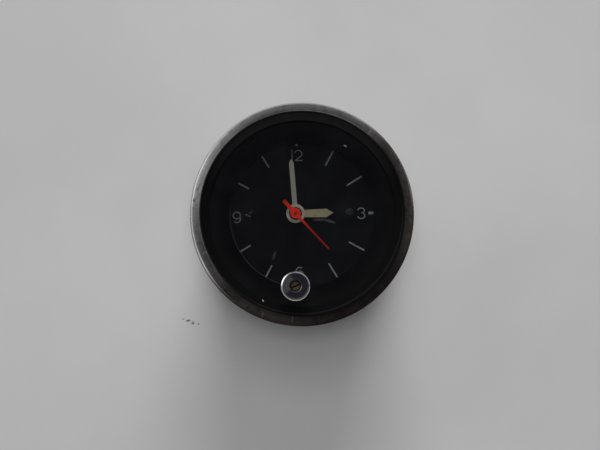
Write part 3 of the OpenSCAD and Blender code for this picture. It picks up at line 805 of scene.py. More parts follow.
@dataclass(frozen=True)
class WindowGlass:
    """Clear glass with dust, and with any smears and scuffs that lie on it."""

    name: str
    smears: tuple[Mark, ...] = ()
    scuffs: tuple[Mark, ...] = ()

    def material(self) -> Material:
        """Builds the material.

        Returns:
            The new material.
        """
        material, s = new_shading(self.name)
        facing = s.node("ShaderNodeLayerWeight", {}, {"Blend": 0.5}, "Facing")
        gloss = 0.03 + facing ** 5 * 0.97
        cloud = s.noise(0.16, 5.0)
        fibres = s.noise(1.0, 3.0, s.stretched(0.5, 2.2, 1.0)).step(0.60, 0.80)
        motes = s.cells(0.9).step(0.05, 0.02) * s.noise(0.4, 2.0).step(0.50, 0.60)
        film = cloud.step(0.40, 0.80) * 0.004 + fibres * 0.0025 + s.marked(motes * 0.05, self.scuffs)
        ragged = s.noise(1.7, 4.0).step(0.30, 0.66)
        for smear in self.smears:
            film = film + s.spot(smear) * ragged
        dirt = s.surface(Base_Color=(0.42, 0.43, 0.46), Roughness=0.85, Specular_IOR_Level=0.1)
        shine = s.node("ShaderNodeBsdfGlossy", {}, {"Color": (0.9, 0.93, 1.0), "Roughness": 0.03})
        through = s.node("ShaderNodeBsdfTransparent", {}, {"Color": (0.97, 0.98, 0.975)})
        pane = s.node("ShaderNodeMixShader", {}, {0: gloss, 1: through, 2: shine})
        s.show(s.node("ShaderNodeMixShader", {}, {0: film, 1: pane, 2: dirt}))
        return material


# Mesh building

def rounded(corners: Iterable[Corner], steps: int = 6) -> list[Point]:
    """Replaces each corner of a closed outline by an arc that meets its two sides.

    Args:
        corners: Points as (x, y, radius of the rounding).
        steps: Straight pieces in each arc.

    Returns:
        The outline's points in order.
    """
    points = list(corners)
    outline: list[Point] = []
    for index, (x, y, radius) in enumerate(points):
        here = Vector((x, y))
        before = Vector(points[index - 1][:2]) - here
        after = Vector(points[(index + 1) % len(points)][:2]) - here
        half = before.angle(after) / 2
        if radius == 0 or half > math.radians(89.5):
            outline.append((x, y))
            continue
        cut = min(radius / math.tan(half), 0.49 * before.length, 0.49 * after.length)
        inward = (before.normalized() + after.normalized()).normalized()
        middle = here + inward * (cut / math.cos(half))
        first = here + before.normalized() * cut - middle
        last = here + after.normalized() * cut - middle
        sweep = math.atan2(first.x * last.y - first.y * last.x, first.dot(last))
        start = math.atan2(first.y, first.x)
        for step in range(steps + 1):
            angle = start + sweep * step / steps
            reach = Vector((math.cos(angle), math.sin(angle))) * first.length
            outline.append((middle.x + reach.x, middle.y + reach.y))
    return outline


def ellipse(centre: Point, half: Point, start: Number, end: Number, steps: int = 24) -> list[Point]:
    """Points along part of an ellipse, between two angles in degrees."""
    angles = [math.radians(start + (end - start) * i / steps) for i in range(steps + 1)]
    return [(centre[0] + half[0] * math.cos(a), centre[1] + half[1] * math.sin(a)) for a in angles]


def curve(first: Point, through: Point, last: Point, steps: int = 6) -> list[Point]:
    """Points along a smooth bend.

    Args:
        first: Where it starts.
        through: The point that it is pulled towards.
        last: Where it ends.
        steps: Straight pieces in it.

    Returns:
        The points in order.
    """
    start, pull, end = Vector(first), Vector(through), Vector(last)
    points = []
    for i in range(steps + 1):
        t = i / steps
        place = start * (1 - t) ** 2 + pull * (2 * t * (1 - t)) + end * t ** 2
        points.append((place.x, place.y))
    return points


def new_piece(name: str, bm: Mesh, sharp: Number = 32.0) -> Piece:
    """Turns a mesh under construction into an object, smooth apart from its sharp edges.

    Args:
        name: The piece's name.
        bm: The mesh, in metres; it is freed.
        sharp: Degrees between faces from which an edge stays sharp.

    Returns:
        The new object.
    """
    bmesh.ops.recalc_face_normals(bm, faces=bm.faces)
    for face in bm.faces:
        face.smooth = True
    for edge in bm.edges:
        edge.smooth = edge.calc_face_angle(0.0) < math.radians(sharp)
    mesh = bpy.data.meshes.new(name)
    bm.to_mesh(mesh)
    bm.free()
    piece = bpy.data.objects.new(name, mesh)
    bpy.context.scene.collection.objects.link(piece)
    return piece


def add_ring(bm: Mesh, places: Iterable[Corner]) -> Ring:
    """Adds points, given in millimetres, to a mesh in metres."""
    return [bm.verts.new(Vector(place) * MM) for place in places]


def join_rings(bm: Mesh, first: Ring, second: Ring) -> None:
    """Adds the faces between two rings, either of which may be a single point.

    Args:
        bm: The mesh that holds both.
        first: One ring.
        second: The other ring, with as many points unless one of them is a single point.
    """
    count = max(len(first), len(second))
    if count == 1:
        return
    for i in range(count):
        after = (i + 1) % count
        here = [first[i % len(first)], first[after % len(first)]]
        there = [second[after % len(second)], second[i % len(second)]]
        bm.faces.new(list(dict.fromkeys(here + there)))


def join_row(bm: Mesh, rings: Sequence[Ring]) -> None:
    """Adds the faces between each ring and the next, and closes both ends.

    Args:
        bm: The mesh that holds them.
        rings: The rings in order.
    """
    for first, second in zip(rings, rings[1:]):
        join_rings(bm, first, second)
    bm.faces.new(rings[0])
    bm.faces.new(rings[-1][::-1])


def lathe(name: str, outline: Sequence[Point], centre: Point = (0.0, 0.0), steps: int = 192) -> Piece:
    """Turns a closed outline of (radius, height) points about an upright axis.

    Args:
        name: The piece's name.
        outline: Points of the outline in order.
        centre: Where the axis stands.
        steps: Straight pieces round the circle.

    Returns:
        The new object.
    """
    bm = bmesh.new()
    turns = [2 * math.pi * i / steps for i in range(steps)]
    rings = []
    for radius, height in outline:
        around = turns if radius > 1e-6 else turns[:1]
        spots = [(centre[0] + radius * math.cos(a), centre[1] + radius * math.sin(a)) for a in around]
        rings.append(add_ring(bm, [(x, y, height) for x, y in spots]))
    for index, ring in enumerate(rings):
        join_rings(bm, rings[index - 1], ring)
    return new_piece(name, bm)


def turned(point: Point, degrees: Number, centre: Point) -> Point:
    """A point turned anticlockwise about the origin and then moved to a centre."""
    c, s = math.cos(math.radians(degrees)), math.sin(math.radians(degrees))
    return (centre[0] + point[0] * c - point[1] * s, centre[1] + point[0] * s + point[1] * c)


def star_plate(
    name: str, outline: Sequence[Point], hole: Number, low: Number, thick: Number, centre: Point, turn: Number
) -> Piece:
    """Makes a flat plate with a round hole, from an outline that goes once round the hole.

    Args:
        name: The piece's name.
        outline: Points in order, seen from the hole's middle.
        hole: Radius of the hole.
        low: Height of the underside.
        thick: Thickness of the plate.
        centre: Where the hole's middle stands.
        turn: Degrees that the plate is turned anticlockwise.

    Returns:
        The new object.
    """
    bm = bmesh.new()
    inner = [(hole * x / math.hypot(x, y), hole * y / math.hypot(x, y)) for x, y in outline]
    high = low + thick
    rings = []
    for points, height in ((inner, low), (outline, low), (outline, high), (inner, high)):
        rings.append(add_ring(bm, [(*turned(point, turn, centre), height) for point in points]))
    for index, ring in enumerate(rings):
        join_rings(bm, rings[index - 1], ring)
    return new_piece(name, bm)


def add_stroke(bm: Mesh, path: Sequence[Point], width: Number, low: Number, high: Number) -> None:
    """Adds a flat strip along a path.

    Args:
        bm: The mesh that it joins.
        path: Points along its middle.
        width: How wide it is.
        low: Height of its underside.
        high: Height of its top.
    """
    spots = [Vector(p) for p in path]
    rows = []
    for index, spot in enumerate(spots):
        into = (spot - spots[index - 1]).normalized() if index else None
        out = (spots[index + 1] - spot).normalized() if index + 1 < len(spots) else None
        along = ((into or out) + (out or into)).normalized()
        side = Vector((-along.y, along.x))
        slant = max(0.5, abs(along.dot(out or into)))
        edge = side * (width / 2 / slant)
        corners = [(spot + edge, low), (spot - edge, low), (spot - edge, high), (spot + edge, high)]
        rows.append(add_ring(bm, [(p.x, p.y, height) for p, height in corners]))
    join_row(bm, rows)


def drill(piece: Piece, centre: Point, radius: Number, low: Number, high: Number) -> None:
    """Cuts an upright round hole between two heights into a finished piece.

    Args:
        piece: The object that is cut.
        centre: Where the hole's axis stands.
        radius: The hole's radius.
        low: Height of the hole's lower end.
        high: Height of its upper end.
    """
    cutter = lathe("cutter", [(0.0, low), (radius, low), (radius, high), (0.0, high)], centre, 64)
    cut = piece.modifiers.new("hole", "BOOLEAN")
    cut.operation = "DIFFERENCE"
    cut.solver = "EXACT"
    cut.object = cutter
    graph = bpy.context.evaluated_depsgraph_get()
    piece.data = bpy.data.meshes.new_from_object(piece.evaluated_get(graph))
    piece.modifiers.remove(cut)
    bpy.data.objects.remove(cutter)


def soften(piece: Piece, width: Number) -> None:
    """Rounds a piece's sharp edges.

    Args:
        piece: The object.
        width: How much of each side the rounding takes.
    """
    bevel = piece.modifiers.new("edges", "BEVEL")
    bevel.width = width * MM
    bevel.segments = 2
    bevel.limit_method = "ANGLE"
    bevel.angle_limit = math.radians(40)
    bevel.harden_normals = False


def dress(piece: Piece, material: Material) -> None:
    """Gives a piece one material all over."""
    piece.data.materials.clear()
    piece.data.materials.append(material)


def place_piece(piece: Piece, material: Material, body: Body, nodes: Sequence[str] = ()) -> None:
    """Dresses a new piece and ties it to the frame.

    Args:
        piece: The new object.
        material: Its finish.
        body: The body that it rides on.
        nodes: Solids that it stands for.
    """
    dress(piece, material)
    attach(piece, body.value)
    if nodes:
        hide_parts(*nodes)
    LOG.info("%s: %d faces on %s", piece.name, len(piece.data.polygons), body.value)


# The clock's sub-assemblies

@dataclass
class Front:
    """Bezel, seal and mask, which stand still."""

    bezel_r: float = 30.0
    bezel_h: float = 6.0
    open_r: float = 26.85
    crest_in: float = 0.3
    crown_slope: float = 22.0
    edge_slope: float = 30.0
    case_r: float = 25.8
    rear_gap: float = 0.6
    lip: float = 0.5
    flare: float = 0.7
    wall: float = 0.6
    front_t: float = 0.9
    lens_r: float = 28.2
    lens_low: float = 2.1
    lens_high: float = 3.9
    seal_in: float = 24.75
    seal_knee: float = 0.16
    mask_r: float = 19.3
    mask_lip: float = 1.3
    mask_rise: float = 1.4
    mask_sheet: float = 0.5
    mask_gap: float = 1.3
    dial_z: float = -4.0
    stem: Point = (-1.65, -19.5)
    stem_hole: float = 1.5
    dents: tuple[Mark, ...] = (
        Mark((-27.62, 6.2), (1.1, 0.55), 68.0, 0.84),
        Mark((-27.05, 7.4), (1.4, 0.5), 68.0, 0.72),
        Mark((-28.5, 3.2), (1.0, 0.5), 95.0, 0.95),
        Mark((-28.0, 3.8), (0.9, 0.5), 30.0, 0.8),
        Mark((-27.8, 2.0), (0.5, 0.42), 0.0, 0.85),
    )
    rubs: tuple[Mark, ...] = (
        Mark((18.0, 21.6), (1.1, 0.2), 50.2),
        Mark((-25.7, -10.5), (1.1, 0.2), 22.2),
        Mark((-10.4, -27.0), (1.1, 0.2), 68.9),
        Mark((-2.5, -28.0), (1.1, 0.2), 84.9),
        Mark((-26.95, 6.0), (1.2, 0.35), 72.0, 0.5),
        Mark((-27.6, 3.1), (0.7, 0.45), 60.0, 0.45),
    )
    flake: Mark = Mark((-10.3, -23.2), (0.17, 0.42), 20.0)

    def build(self) -> None:
        """Builds and dresses the three rings."""
        chrome = WornChrome("worn_chrome", self.bezel_r - self.flare, self.open_r, self.dents, self.rubs)
        place_piece(self.bezel(), chrome.material(), Body.CASE, ["bezel"])
        rubber = SealRubber("seal_rubber", self.open_r - self.seal_knee, self.flake)
        place_piece(self.seal(), rubber.material(), Body.CASE, ["lens_seal"])
        paint = BlackEnamel(
            "mask_enamel", (0.0006, 0.0006, 0.0006), 0.42, 0.01, 0.06, highlight_edge_r=self.mask_r, rim_paling=0.014
        )
        place_piece(self.mask(), paint.material(), Body.CASE, ["mask_ring"])

    def bezel(self) -> Piece:
        """The pressed ring with its flared side, sloping band and rolled rear lip.

        Returns:
            The new object.
        """
        top, r, shoulder = self.bezel_h, self.bezel_r, self.bezel_r - self.flare
        inner = shoulder - self.wall
        rear_in = self.case_r + self.rear_gap
        crest = self.open_r + self.crest_in
        middle = (crest + shoulder) / 2
        half_z = top - (middle - crest) * math.tan(math.radians(self.crown_slope))
        shoulder_z = half_z - (shoulder - middle) * math.tan(math.radians(self.edge_slope))
        under = top - self.front_t
        corners = [
            (rear_in, 0.0, 0.1), (r, 0.0, 0.15), (r, 0.42, 0.16), (r - 0.24, 0.46, 0.03),
            (shoulder, shoulder_z, 0.6), (middle, half_z, 6.0), (crest, top, 0.2),
            (self.open_r, top - 0.15, 0.1), (self.open_r, under, 0.08),
            (inner, under, 0.4), (inner, self.lip, 0.15), (rear_in, self.lip, 0.1),
        ]
        return lathe("bezel_ring", rounded(corners, 8), steps=256)

    def seal(self) -> Piece:
        """The rubber ring that shows between bezel and mask.

        Returns:
            The new object.
        """
        under = self.bezel_h - self.front_t
        corners = [
            (self.seal_in, self.lens_high, 0.05), (self.lens_r, self.lens_high, 0.05),
            (self.lens_r, under, 0.1), (self.open_r - 0.05, under, 0.05),
            (self.open_r - self.seal_knee, under - 0.12, 0.08), (self.seal_in, self.lens_high + 0.3, 0.15),
        ]
        return lathe("seal_ring", rounded(corners, 4), steps=256)

    def mask(self) -> Piece:
        """The black dished ring that frames the dial.

        Returns:
            The new object.
        """
        foot = self.mask_r + self.mask_lip
        lip_top = self.dial_z + self.mask_rise
        lip_low = lip_top - self.mask_sheet
        outer = self.case_r - self.mask_gap
        corners = [
            (self.lens_r, self.lens_low, 0.05), (self.seal_in, self.lens_low, 0.25),
            (foot, lip_top, 0.35), (self.mask_r, lip_top, 0.2),
            (self.mask_r, lip_low, 0.1), (foot + 0.3, lip_low, 0.3),
            (outer, self.lip + 0.5, 0.1), (outer, self.lip + 0.8, 0.1), (self.lens_r, self.lip + 0.8, 0.05),
        ]
        piece = lathe("dial_mask", rounded(corners, 6), steps=256)
        drill(piece, self.stem, self.stem_hole, lip_top - 2.0, self.lens_low - 0.6)
        return piece


@dataclass
class DialPrint:
    """Numbers and hour marks printed on the dial."""

    centre: Point = (-0.84, -0.05)
    turn: float = 1.9
    dial_z: float = Front.dial_z
    film: float = 0.02
    digit_h: float = 3.05
    digit_half_w: float = 0.36
    digit_line: float = 0.26
    tick_in: float = 15.3
    tick_out: float = 20.6
    tick_w: float = 0.4
    bar_in: float = 18.8
    bar_w: float = 0.72
    # Darkening of the print towards the upper left, away from a point at the lower right.
    darkened: Fade = Fade((13.0, -13.0), 18.0, 35.0, 0.58)

    def build(self) -> None:
        """Builds and dresses the print."""
        white, faded, speck = (0.172, 0.172, 0.175), (0.14, 0.14, 0.142), (0.04, 0.04, 0.04)
        paint = AgedPaint("dial_print", white, faded, speck, 0.6, fade=self.darkened)
        place_piece(self.marks(), paint.material(), Body.CASE)

    def line(self, bm: Mesh, path: Sequence[Point], width: Number) -> None:
        """Adds one printed line."""
        spots = [turned(point, self.turn, self.centre) for point in path]
        add_stroke(bm, spots, width, self.dial_z - self.film, self.dial_z + self.film)

    def marks(self) -> Piece:
        """All hour marks and numbers as one piece.

        Returns:
            The new object.
        """
        bm = bmesh.new()
        for hour in range(12):
            angle = math.radians(90 - 30 * hour)
            quarter = hour % 3 == 0
            ends = (self.bar_in if quarter else self.tick_in, self.tick_out)
            path = [(r * math.cos(angle), r * math.sin(angle)) for r in ends]
            self.line(bm, path, self.bar_w if quarter else self.tick_w)
        six = [[(2 * self.digit_half_w - x, 1 - y) for x, y in path] for path in self.nine()]
        self.digit(bm, self.one(), (-1.28, 16.2))
        self.digit(bm, self.two(), (0.42, 16.2))
        self.digit(bm, self.three(), (16.9, 0.0))
        self.digit(bm, self.nine(), (-16.75, 0.0))
        self.digit(bm, six, (-0.25, -15.45))
        return new_piece("dial_print", bm)

    def digit(self, bm: Mesh, paths: Sequence[Sequence[Point]], middle: Point) -> None:
        """Adds one digit.

        Args:
            bm: The mesh that it joins.
            paths: Its lines, as shares of its height.
            middle: Where its middle stands on the dial.
        """
        for path in paths:
            shares = [(x - self.digit_half_w, y - 0.5) for x, y in path]
            spots = [(middle[0] + x * self.digit_h, middle[1] + y * self.digit_h) for x, y in shares]
            self.line(bm, spots, self.digit_line)

    @staticmethod
    def one() -> list[list[Point]]:
        """A plain upright with a small flag."""
        return [[(0.30, 0.93), (0.36, 0.985), (0.36, 0.0)]]

    @staticmethod
    def two() -> list[list[Point]]:
        """An open bow, a slope and a foot."""
        bow = ellipse((0.36, 0.64), (0.32, 0.32), 165, -32)
        return [bow + [(0.06, 0.06)], [(0.02, 0.06), (0.72, 0.06)]]

    @staticmethod
    def three() -> list[list[Point]]:
        """Two bows that meet at a short bar.

        Returns:
            The lines, as shares of the height.
        """
        upper = ellipse((0.35, 0.755), (0.29, 0.215), 172, -80)
        lower = ellipse((0.35, 0.29), (0.32, 0.255), 82, -172)
        return [upper, lower, [(0.34, 0.54), (0.46, 0.54)]]

    @staticmethod
    def nine() -> list[list[Point]]:
        """A round bowl with a curled tail.

        Returns:
            The lines, as shares of the height.
        """
        bowl = ellipse((0.36, 0.67), (0.32, 0.295), 0, 360, 32)
        tail = [(0.68, 0.66)] + ellipse((0.36, 0.38), (0.32, 0.34), 0, -130)
        return [bowl, tail]


@dataclass
class Hands:
    """The three hands, each on its own body."""

    arbor: Point = (-1.7, 0.3)
    thick: float = 0.3
    ring_r: float = 2.55
    edge: float = 0.08
    hour_z: float = -2.8
    hour_len: float = 10.2
    hour_w: float = 2.3
    hour_root_w: float = 2.0
    hour_shoulder: float = 0.82
    hour_hole: float = 1.7
    hour_turn: float = 1.4
    minute_z: float = -1.75
    minute_len: float = 14.6
    minute_w: float = 1.3
    minute_taper: float = 0.95
    minute_tip: float = 0.15
    minute_hole: float = 1.7
    minute_turn: float = 94.8
    seconds_z: float = -0.7
    seconds_len: float = 13.3
    seconds_turn: float = 313.0
    seconds_edge: float = 0.06
    boss_r: float = 1.42
    needle_root: float = 0.32
    needle_tip: float = 0.23
    needle_leaves: float = 34.0
    seconds_hole: float = 0.36
    tail_len: float = 4.8
    tail_w: float = 1.0
    tail_leaves: float = 42.0
    chip_places: tuple[Point, ...] = ((5.2, -0.55), (-0.3, 4.6))
    chip_half: Point = (0.22, 0.2)

    def build(self) -> None:
        """Builds and dresses the hands."""
        places = [(self.arbor[0] + x, self.arbor[1] + y) for x, y in self.chip_places]
        chips = tuple(Mark(place, self.chip_half) for place in places)
        speck = (0.05, 0.042, 0.03)
        cream = AgedPaint("cream_paint", (0.245, 0.208, 0.136), (0.212, 0.182, 0.122), speck, chips=chips)
        pale = AgedPaint(
            "pale_cream_paint", (0.272, 0.257, 0.220), (0.246, 0.233, 0.200), speck,
            chips=chips, fade=Fade(self.arbor, 2.4, 3.2, 0.74),
        )
        red = AgedPaint(
            "red_paint", (0.59, 0.0285, 0.0133), (0.53, 0.0247, 0.0119), (0.18, 0.018, 0.009),
            0.45, 0.3, 0.15, fade=Fade(self.arbor, 1.0, 6.5, 0.385),
        )
        place_piece(self.hour(), cream.material(), Body.HOUR, ["hour_hand"])
        place_piece(self.minute(), pale.material(), Body.MINUTE, ["minute_hand"])
        place_piece(self.seconds(), red.material(), Body.SECONDS, ["seconds_hand"])

    def ring_outline(self, half: Number, blade: Sequence[Point]) -> list[Point]:
        """A ring's outline, opened where a blade of this half width leaves it."""
        meet = math.degrees(math.asin(half / self.ring_r))
        return list(blade) + ellipse((0.0, 0.0), (self.ring_r, self.ring_r), meet, 360 - meet, 60)

    def hour(self) -> Piece:
        """The broad hour hand with its blunt arrow end.

        Returns:
            The new object.
        """
        half = self.hour_w / 2
        shoulder = self.hour_len * self.hour_shoulder
        blade = [(shoulder, -half), (self.hour_len, 0.0), (shoulder, half)]
        outline = self.ring_outline(self.hour_root_w / 2, blade)
        piece = star_plate(
            "hour_hand_blade", outline, self.hour_hole, self.hour_z, self.thick, self.arbor, self.hour_turn
        )
        soften(piece, self.edge)
        return piece

    def minute(self) -> Piece:
        """The slim minute hand with its blunt end.

        Returns:
            The new object.
        """
        half, tip, length = self.minute_w / 2, self.minute_tip, self.minute_len
        shoulder = length - self.minute_taper
        blade = [(shoulder, -half), (length, -tip), (length, tip), (shoulder, half)]
        outline = self.ring_outline(half, blade)
        piece = star_plate(
            "minute_hand_blade", outline, self.minute_hole, self.minute_z, self.thick, self.arbor,
            self.minute_turn,
        )
        soften(piece, self.edge)
        return piece

    def seconds(self) -> Piece:
        """The red seconds hand with its boss and counterpoise tail.

        Returns:
            The new object.
        """
        boss, root, tail = self.boss_r, self.needle_root, self.tail_w / 2
        leave, enter = self.needle_leaves, self.tail_leaves
        out = (boss * math.cos(math.radians(leave)), boss * math.sin(math.radians(leave)))
        back = (-boss * math.cos(math.radians(enter)), boss * math.sin(math.radians(enter)))
        half = [(self.seconds_len, 0.0), (self.seconds_len - 0.25, self.needle_tip)]
        half += curve((boss + 0.8, root), (boss + 0.1, root), out)
        half += ellipse((0.0, 0.0), (boss, boss), leave, 180 - enter, 24)[1:-1]
        half += curve(back, (-boss - 0.05, tail), (-boss - 0.8, tail))
        half += ellipse((0.25 - self.tail_len, 0.0), (0.25, tail), 90, 180, 6)
        outline = half + [(x, -y) for x, y in reversed(half[1:-1])]
        piece = star_plate(
            "seconds_hand_blade", outline, self.seconds_hole, self.seconds_z, self.thick, self.arbor,
            self.seconds_turn,
        )
        soften(piece, self.seconds_edge)
        return piece


@dataclass
class Knob:
    """The setting knob, hollowed for its screw."""

    centre: Point = Front.stem
    low: float = 6.8
    height: float = 4.2
    radius: float = 3.9
    rim: float = 0.58
    dish: float = 0.1
    recess_r: float = 1.45
    recess_depth: float = 1.2
    screw_r: float = 0.65
    stem_r: float = 1.0
    stem_end: float = 2.0
    # Where dark reflections are painted on the knob's rim.
    dark_rim_reflection_places: tuple[Point, ...] = ((-0.75, 3.6), (3.72, 0.15))
    dark_rim_reflection_half: Point = (0.45, 0.35)

    def build(self) -> None:
        """Builds and dresses the knob."""
        places = [(self.centre[0] + x, self.centre[1] + y) for x, y in self.dark_rim_reflection_places]
        dark_rim_reflections = tuple(Mark(place, self.dark_rim_reflection_half, 0.0, 0.8) for place in places)
        plate = KnobPlate("knob_plate", self.centre, self.radius - self.rim, self.recess_r, dark_rim_reflections)
        place_piece(self.knob(), plate.material(), Body.KNOB, ["setting_knob"])

    def knob(self) -> Piece:
        """The turned button with its rounded rim, dished face and screw recess.

        Returns:
            The new object.
        """
        r, q, top = self.radius, self.recess_r, self.low + self.height
        face, seat, end = top - self.dish, top - self.recess_depth, top - self.stem_end
        corners = [
            (self.stem_r, self.low, 0.05), (r - 0.4, self.low, 0.2), (r, self.low + 0.5, 0.25),
            (r, top - 0.56, 0.12), (r - 0.1, top - 0.34, 0.9),
            (r - 0.52, top, 0.1), (r - 0.62, top - 0.06, 0.04),
            (q + 0.22, face, 0.1), (q, face - 0.08, 0.06), (q, seat, 0.05), (self.screw_r, seat, 0.0),
            (self.screw_r, end, 0.0), (self.stem_r, end, 0.0),
        ]
        return lathe("knob_button", rounded(corners, 8), self.centre, 96)


@dataclass
class Studs:
    """The two threaded bracket studs, with the heads that hold them inside the can."""

    reach: float = 15.0
    radius: float = 2.0
    neck_r: float = 2.25
    head_r: float = 3.2
    head_top: float = -36.0
    inside: float = -37.2
    outside: float = -38.0
    foot: float = -51.0
    tip: float = 0.4
    pitch: float = 0.7
    depth: float = 0.4
    run_out: float = 1.2
    columns: int = 40
    rows_to_pitch: int = 8

    def build(self) -> None:
        """Builds and dresses both studs as one piece."""
        steel = BareMetal("stud_steel", (0.46, 0.46, 0.46), (0.20, 0.17, 0.13), 0.3, Grain.PLAIN, 0.6)
        place_piece(self.studs(), steel.material(), Body.CASE, ["mounting_studs"])

    def studs(self) -> Piece:
        """Both studs, from tip to head.

        Returns:
            The new object.
        """
        bm = bmesh.new()
        length = self.outside - self.foot
        count = round(length / self.pitch * self.rows_to_pitch)
        heights = [self.foot + length * i / count for i in range(count + 1)]
        solid = [
            (self.neck_r, self.outside), (self.neck_r, self.inside),
            (self.head_r, self.inside), (self.head_r, self.head_top),
        ]
        for middle in (-self.reach, self.reach):
            rings = [self.ring(bm, middle, z, self.thread) for z in heights]
            rings += [self.ring(bm, middle, z, lambda _, turn, r=r: r) for r, z in solid]
            join_row(bm, rings)
        return new_piece("bracket_studs", bm, 40.0)

    def thread(self, z: float, turn: float) -> float:
        """The thread's form.

        Args:
            z: A height.
            turn: A share of a turn.

        Returns:
            The stud's radius there.
        """
        phase = (z / self.pitch - turn) % 1.0
        groove = 1.0 - abs(2.0 * phase - 1.0)
        fade = min(1.0, max(0.0, (self.outside - z) / self.run_out))
        return min(self.radius - self.depth * groove * fade, self.radius - self.tip + (z - self.foot))

    def ring(self, bm: Mesh, middle: float, z: float, radius: Callable[[float, float], float]) -> Ring:
        """Adds one ring of points about a stud's axis.

        Args:
            bm: The mesh that it joins.
            middle: Where the axis stands, across the clock.
            z: The ring's height.
            radius: Gives the radius for a height and a share of a turn.

        Returns:
            The new points in order.
        """
        places = []
        for i in range(self.columns):
            r = radius(z, i / self.columns)
            angle = 2 * math.pi * i / self.columns
            places.append((middle + r * math.cos(angle), r * math.sin(angle), z))
        return add_ring(bm, places)


@dataclass
class Springs:
    """The setting stem's coil, the armature's coil and the balance's spiral."""

    stem: Point = Front.stem
    stem_coil_r: float = 1.4
    stem_wire_r: float = 0.14
    stem_turns: int = 7
    push: float = 2.2
    drive_coil_r: float = 0.5
    drive_wire_r: float = 0.12
    drive_turns: int = 9
    spiral_in: float = 1.09
    spiral_out: float = 3.0
    spiral_turns: int = 4
    spiral_end: float = 202.0
    strip: float = 0.1
    steps: int = 36

    def build(self, joints: Sequence[dict[str, Any]]) -> None:
        """Builds and dresses the springs.

        Args:
            joints: The record's joints, one of which gives the balance's axis.
        """
        bright, dull = (0.44, 0.44, 0.45), (0.22, 0.19, 0.16)
        wire = BareMetal("spring_wire", bright, dull, 0.28, Grain.PLAIN, 0.5).material()
        self.stem_spring(wire)
        self.drive_spring(wire)
        blued = BareMetal("blued_strip", (0.07, 0.10, 0.28), (0.05, 0.05, 0.12), 0.25, Grain.PLAIN, 0.3)
        axis = next(joint["pos_m"] for joint in joints if joint["name"] == "balance_swing")
        low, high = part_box("hairspring")
        spiral = self.spiral((axis[0] / MM, axis[1] / MM), low[2] / MM, high[2] / MM)
        place_piece(spiral, blued.material(), Body.CASE, ["hairspring"])

    def stem_spring(self, wire: Material) -> None:
        """The coil round the setting stem, which the knob presses together.

        Args:
            wire: Its finish.
        """
        low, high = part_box("stem_spring")
        length = high[2] - low[2]
        seat = Vector((self.stem[0] * MM, self.stem[1] * MM, low[2]))
        coil = self.coil("stem_coil", self.stem_coil_r, self.stem_wire_r, self.stem_turns, length / MM)
        coil.data.transform(Matrix.Translation(seat))
        place_piece(coil, wire, Body.CASE, ["stem_spring"])
        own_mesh(coil)

    def drive_spring(self, wire: Material) -> None:
        """The coil between its post and the armature's pin.

        Args:
            wire: Its finish.
        """
        low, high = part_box("drive_spring")
        middle = (Vector(low) + Vector(high)) / 2
        first = Vector((low[0], middle.y, middle.z))
        last = Vector((high[0], middle.y, middle.z))
        length = (last.x - first.x) / MM
        coil = self.coil("drive_coil", self.drive_coil_r, self.drive_wire_r, self.drive_turns, length)
        coil.data.transform(Matrix.Translation(first) @ Matrix.Rotation(math.radians(90), 4, "Y"))
        dress(coil, wire)
        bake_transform(coil)
        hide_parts("drive_spring")
        LOG.info("%s: %d faces between two bodies", coil.name, len(coil.data.polygons))

    def coil(self, name: str, radius: float, wire_r: float, turns: int, length: float) -> Piece:
        """A coil of round wire that rises from the origin.

        Args:
            name: The piece's name.
            radius: Radius to the middle of the wire.
            wire_r: Radius of the wire.
            turns: How often it goes round.
            length: How high it rises in all.

        Returns:
            The new object.
        """
        bm = bmesh.new()
        count = turns * self.steps
        rings = []
        for i in range(count + 1):
            angle = math.radians(360 * turns * i / count)
            middle = wire_r + (length - 2 * wire_r) * i / count
            section = ellipse((radius, middle), (wire_r, wire_r), 0, 330, 11)
            rings.append(add_ring(bm, [(r * math.cos(angle), r * math.sin(angle), z) for r, z in section]))
        join_row(bm, rings)
        return new_piece(name, bm, 50.0)

    def spiral(self, middle: Point, low: float, high: float) -> Piece:
        """The thin strip, wound from beside the balance staff out to its stud.

        Args:
            middle: Where the balance's axis stands.
            low: Height of the strip's lower edge.
            high: Height of its upper edge.

        Returns:
            The new object.
        """
        bm = bmesh.new()
        count = self.spiral_turns * self.steps
        path = []
        for i in range(count + 1):
            angle = math.radians(self.spiral_end - 360 * self.spiral_turns * (1 - i / count))
            r = self.spiral_in + (self.spiral_out - self.spiral_in) * i / count
            path.append((middle[0] + r * math.cos(angle), middle[1] + r * math.sin(angle)))
        add_stroke(bm, path, self.strip, low, high)
        return new_piece("balance_spiral", bm)


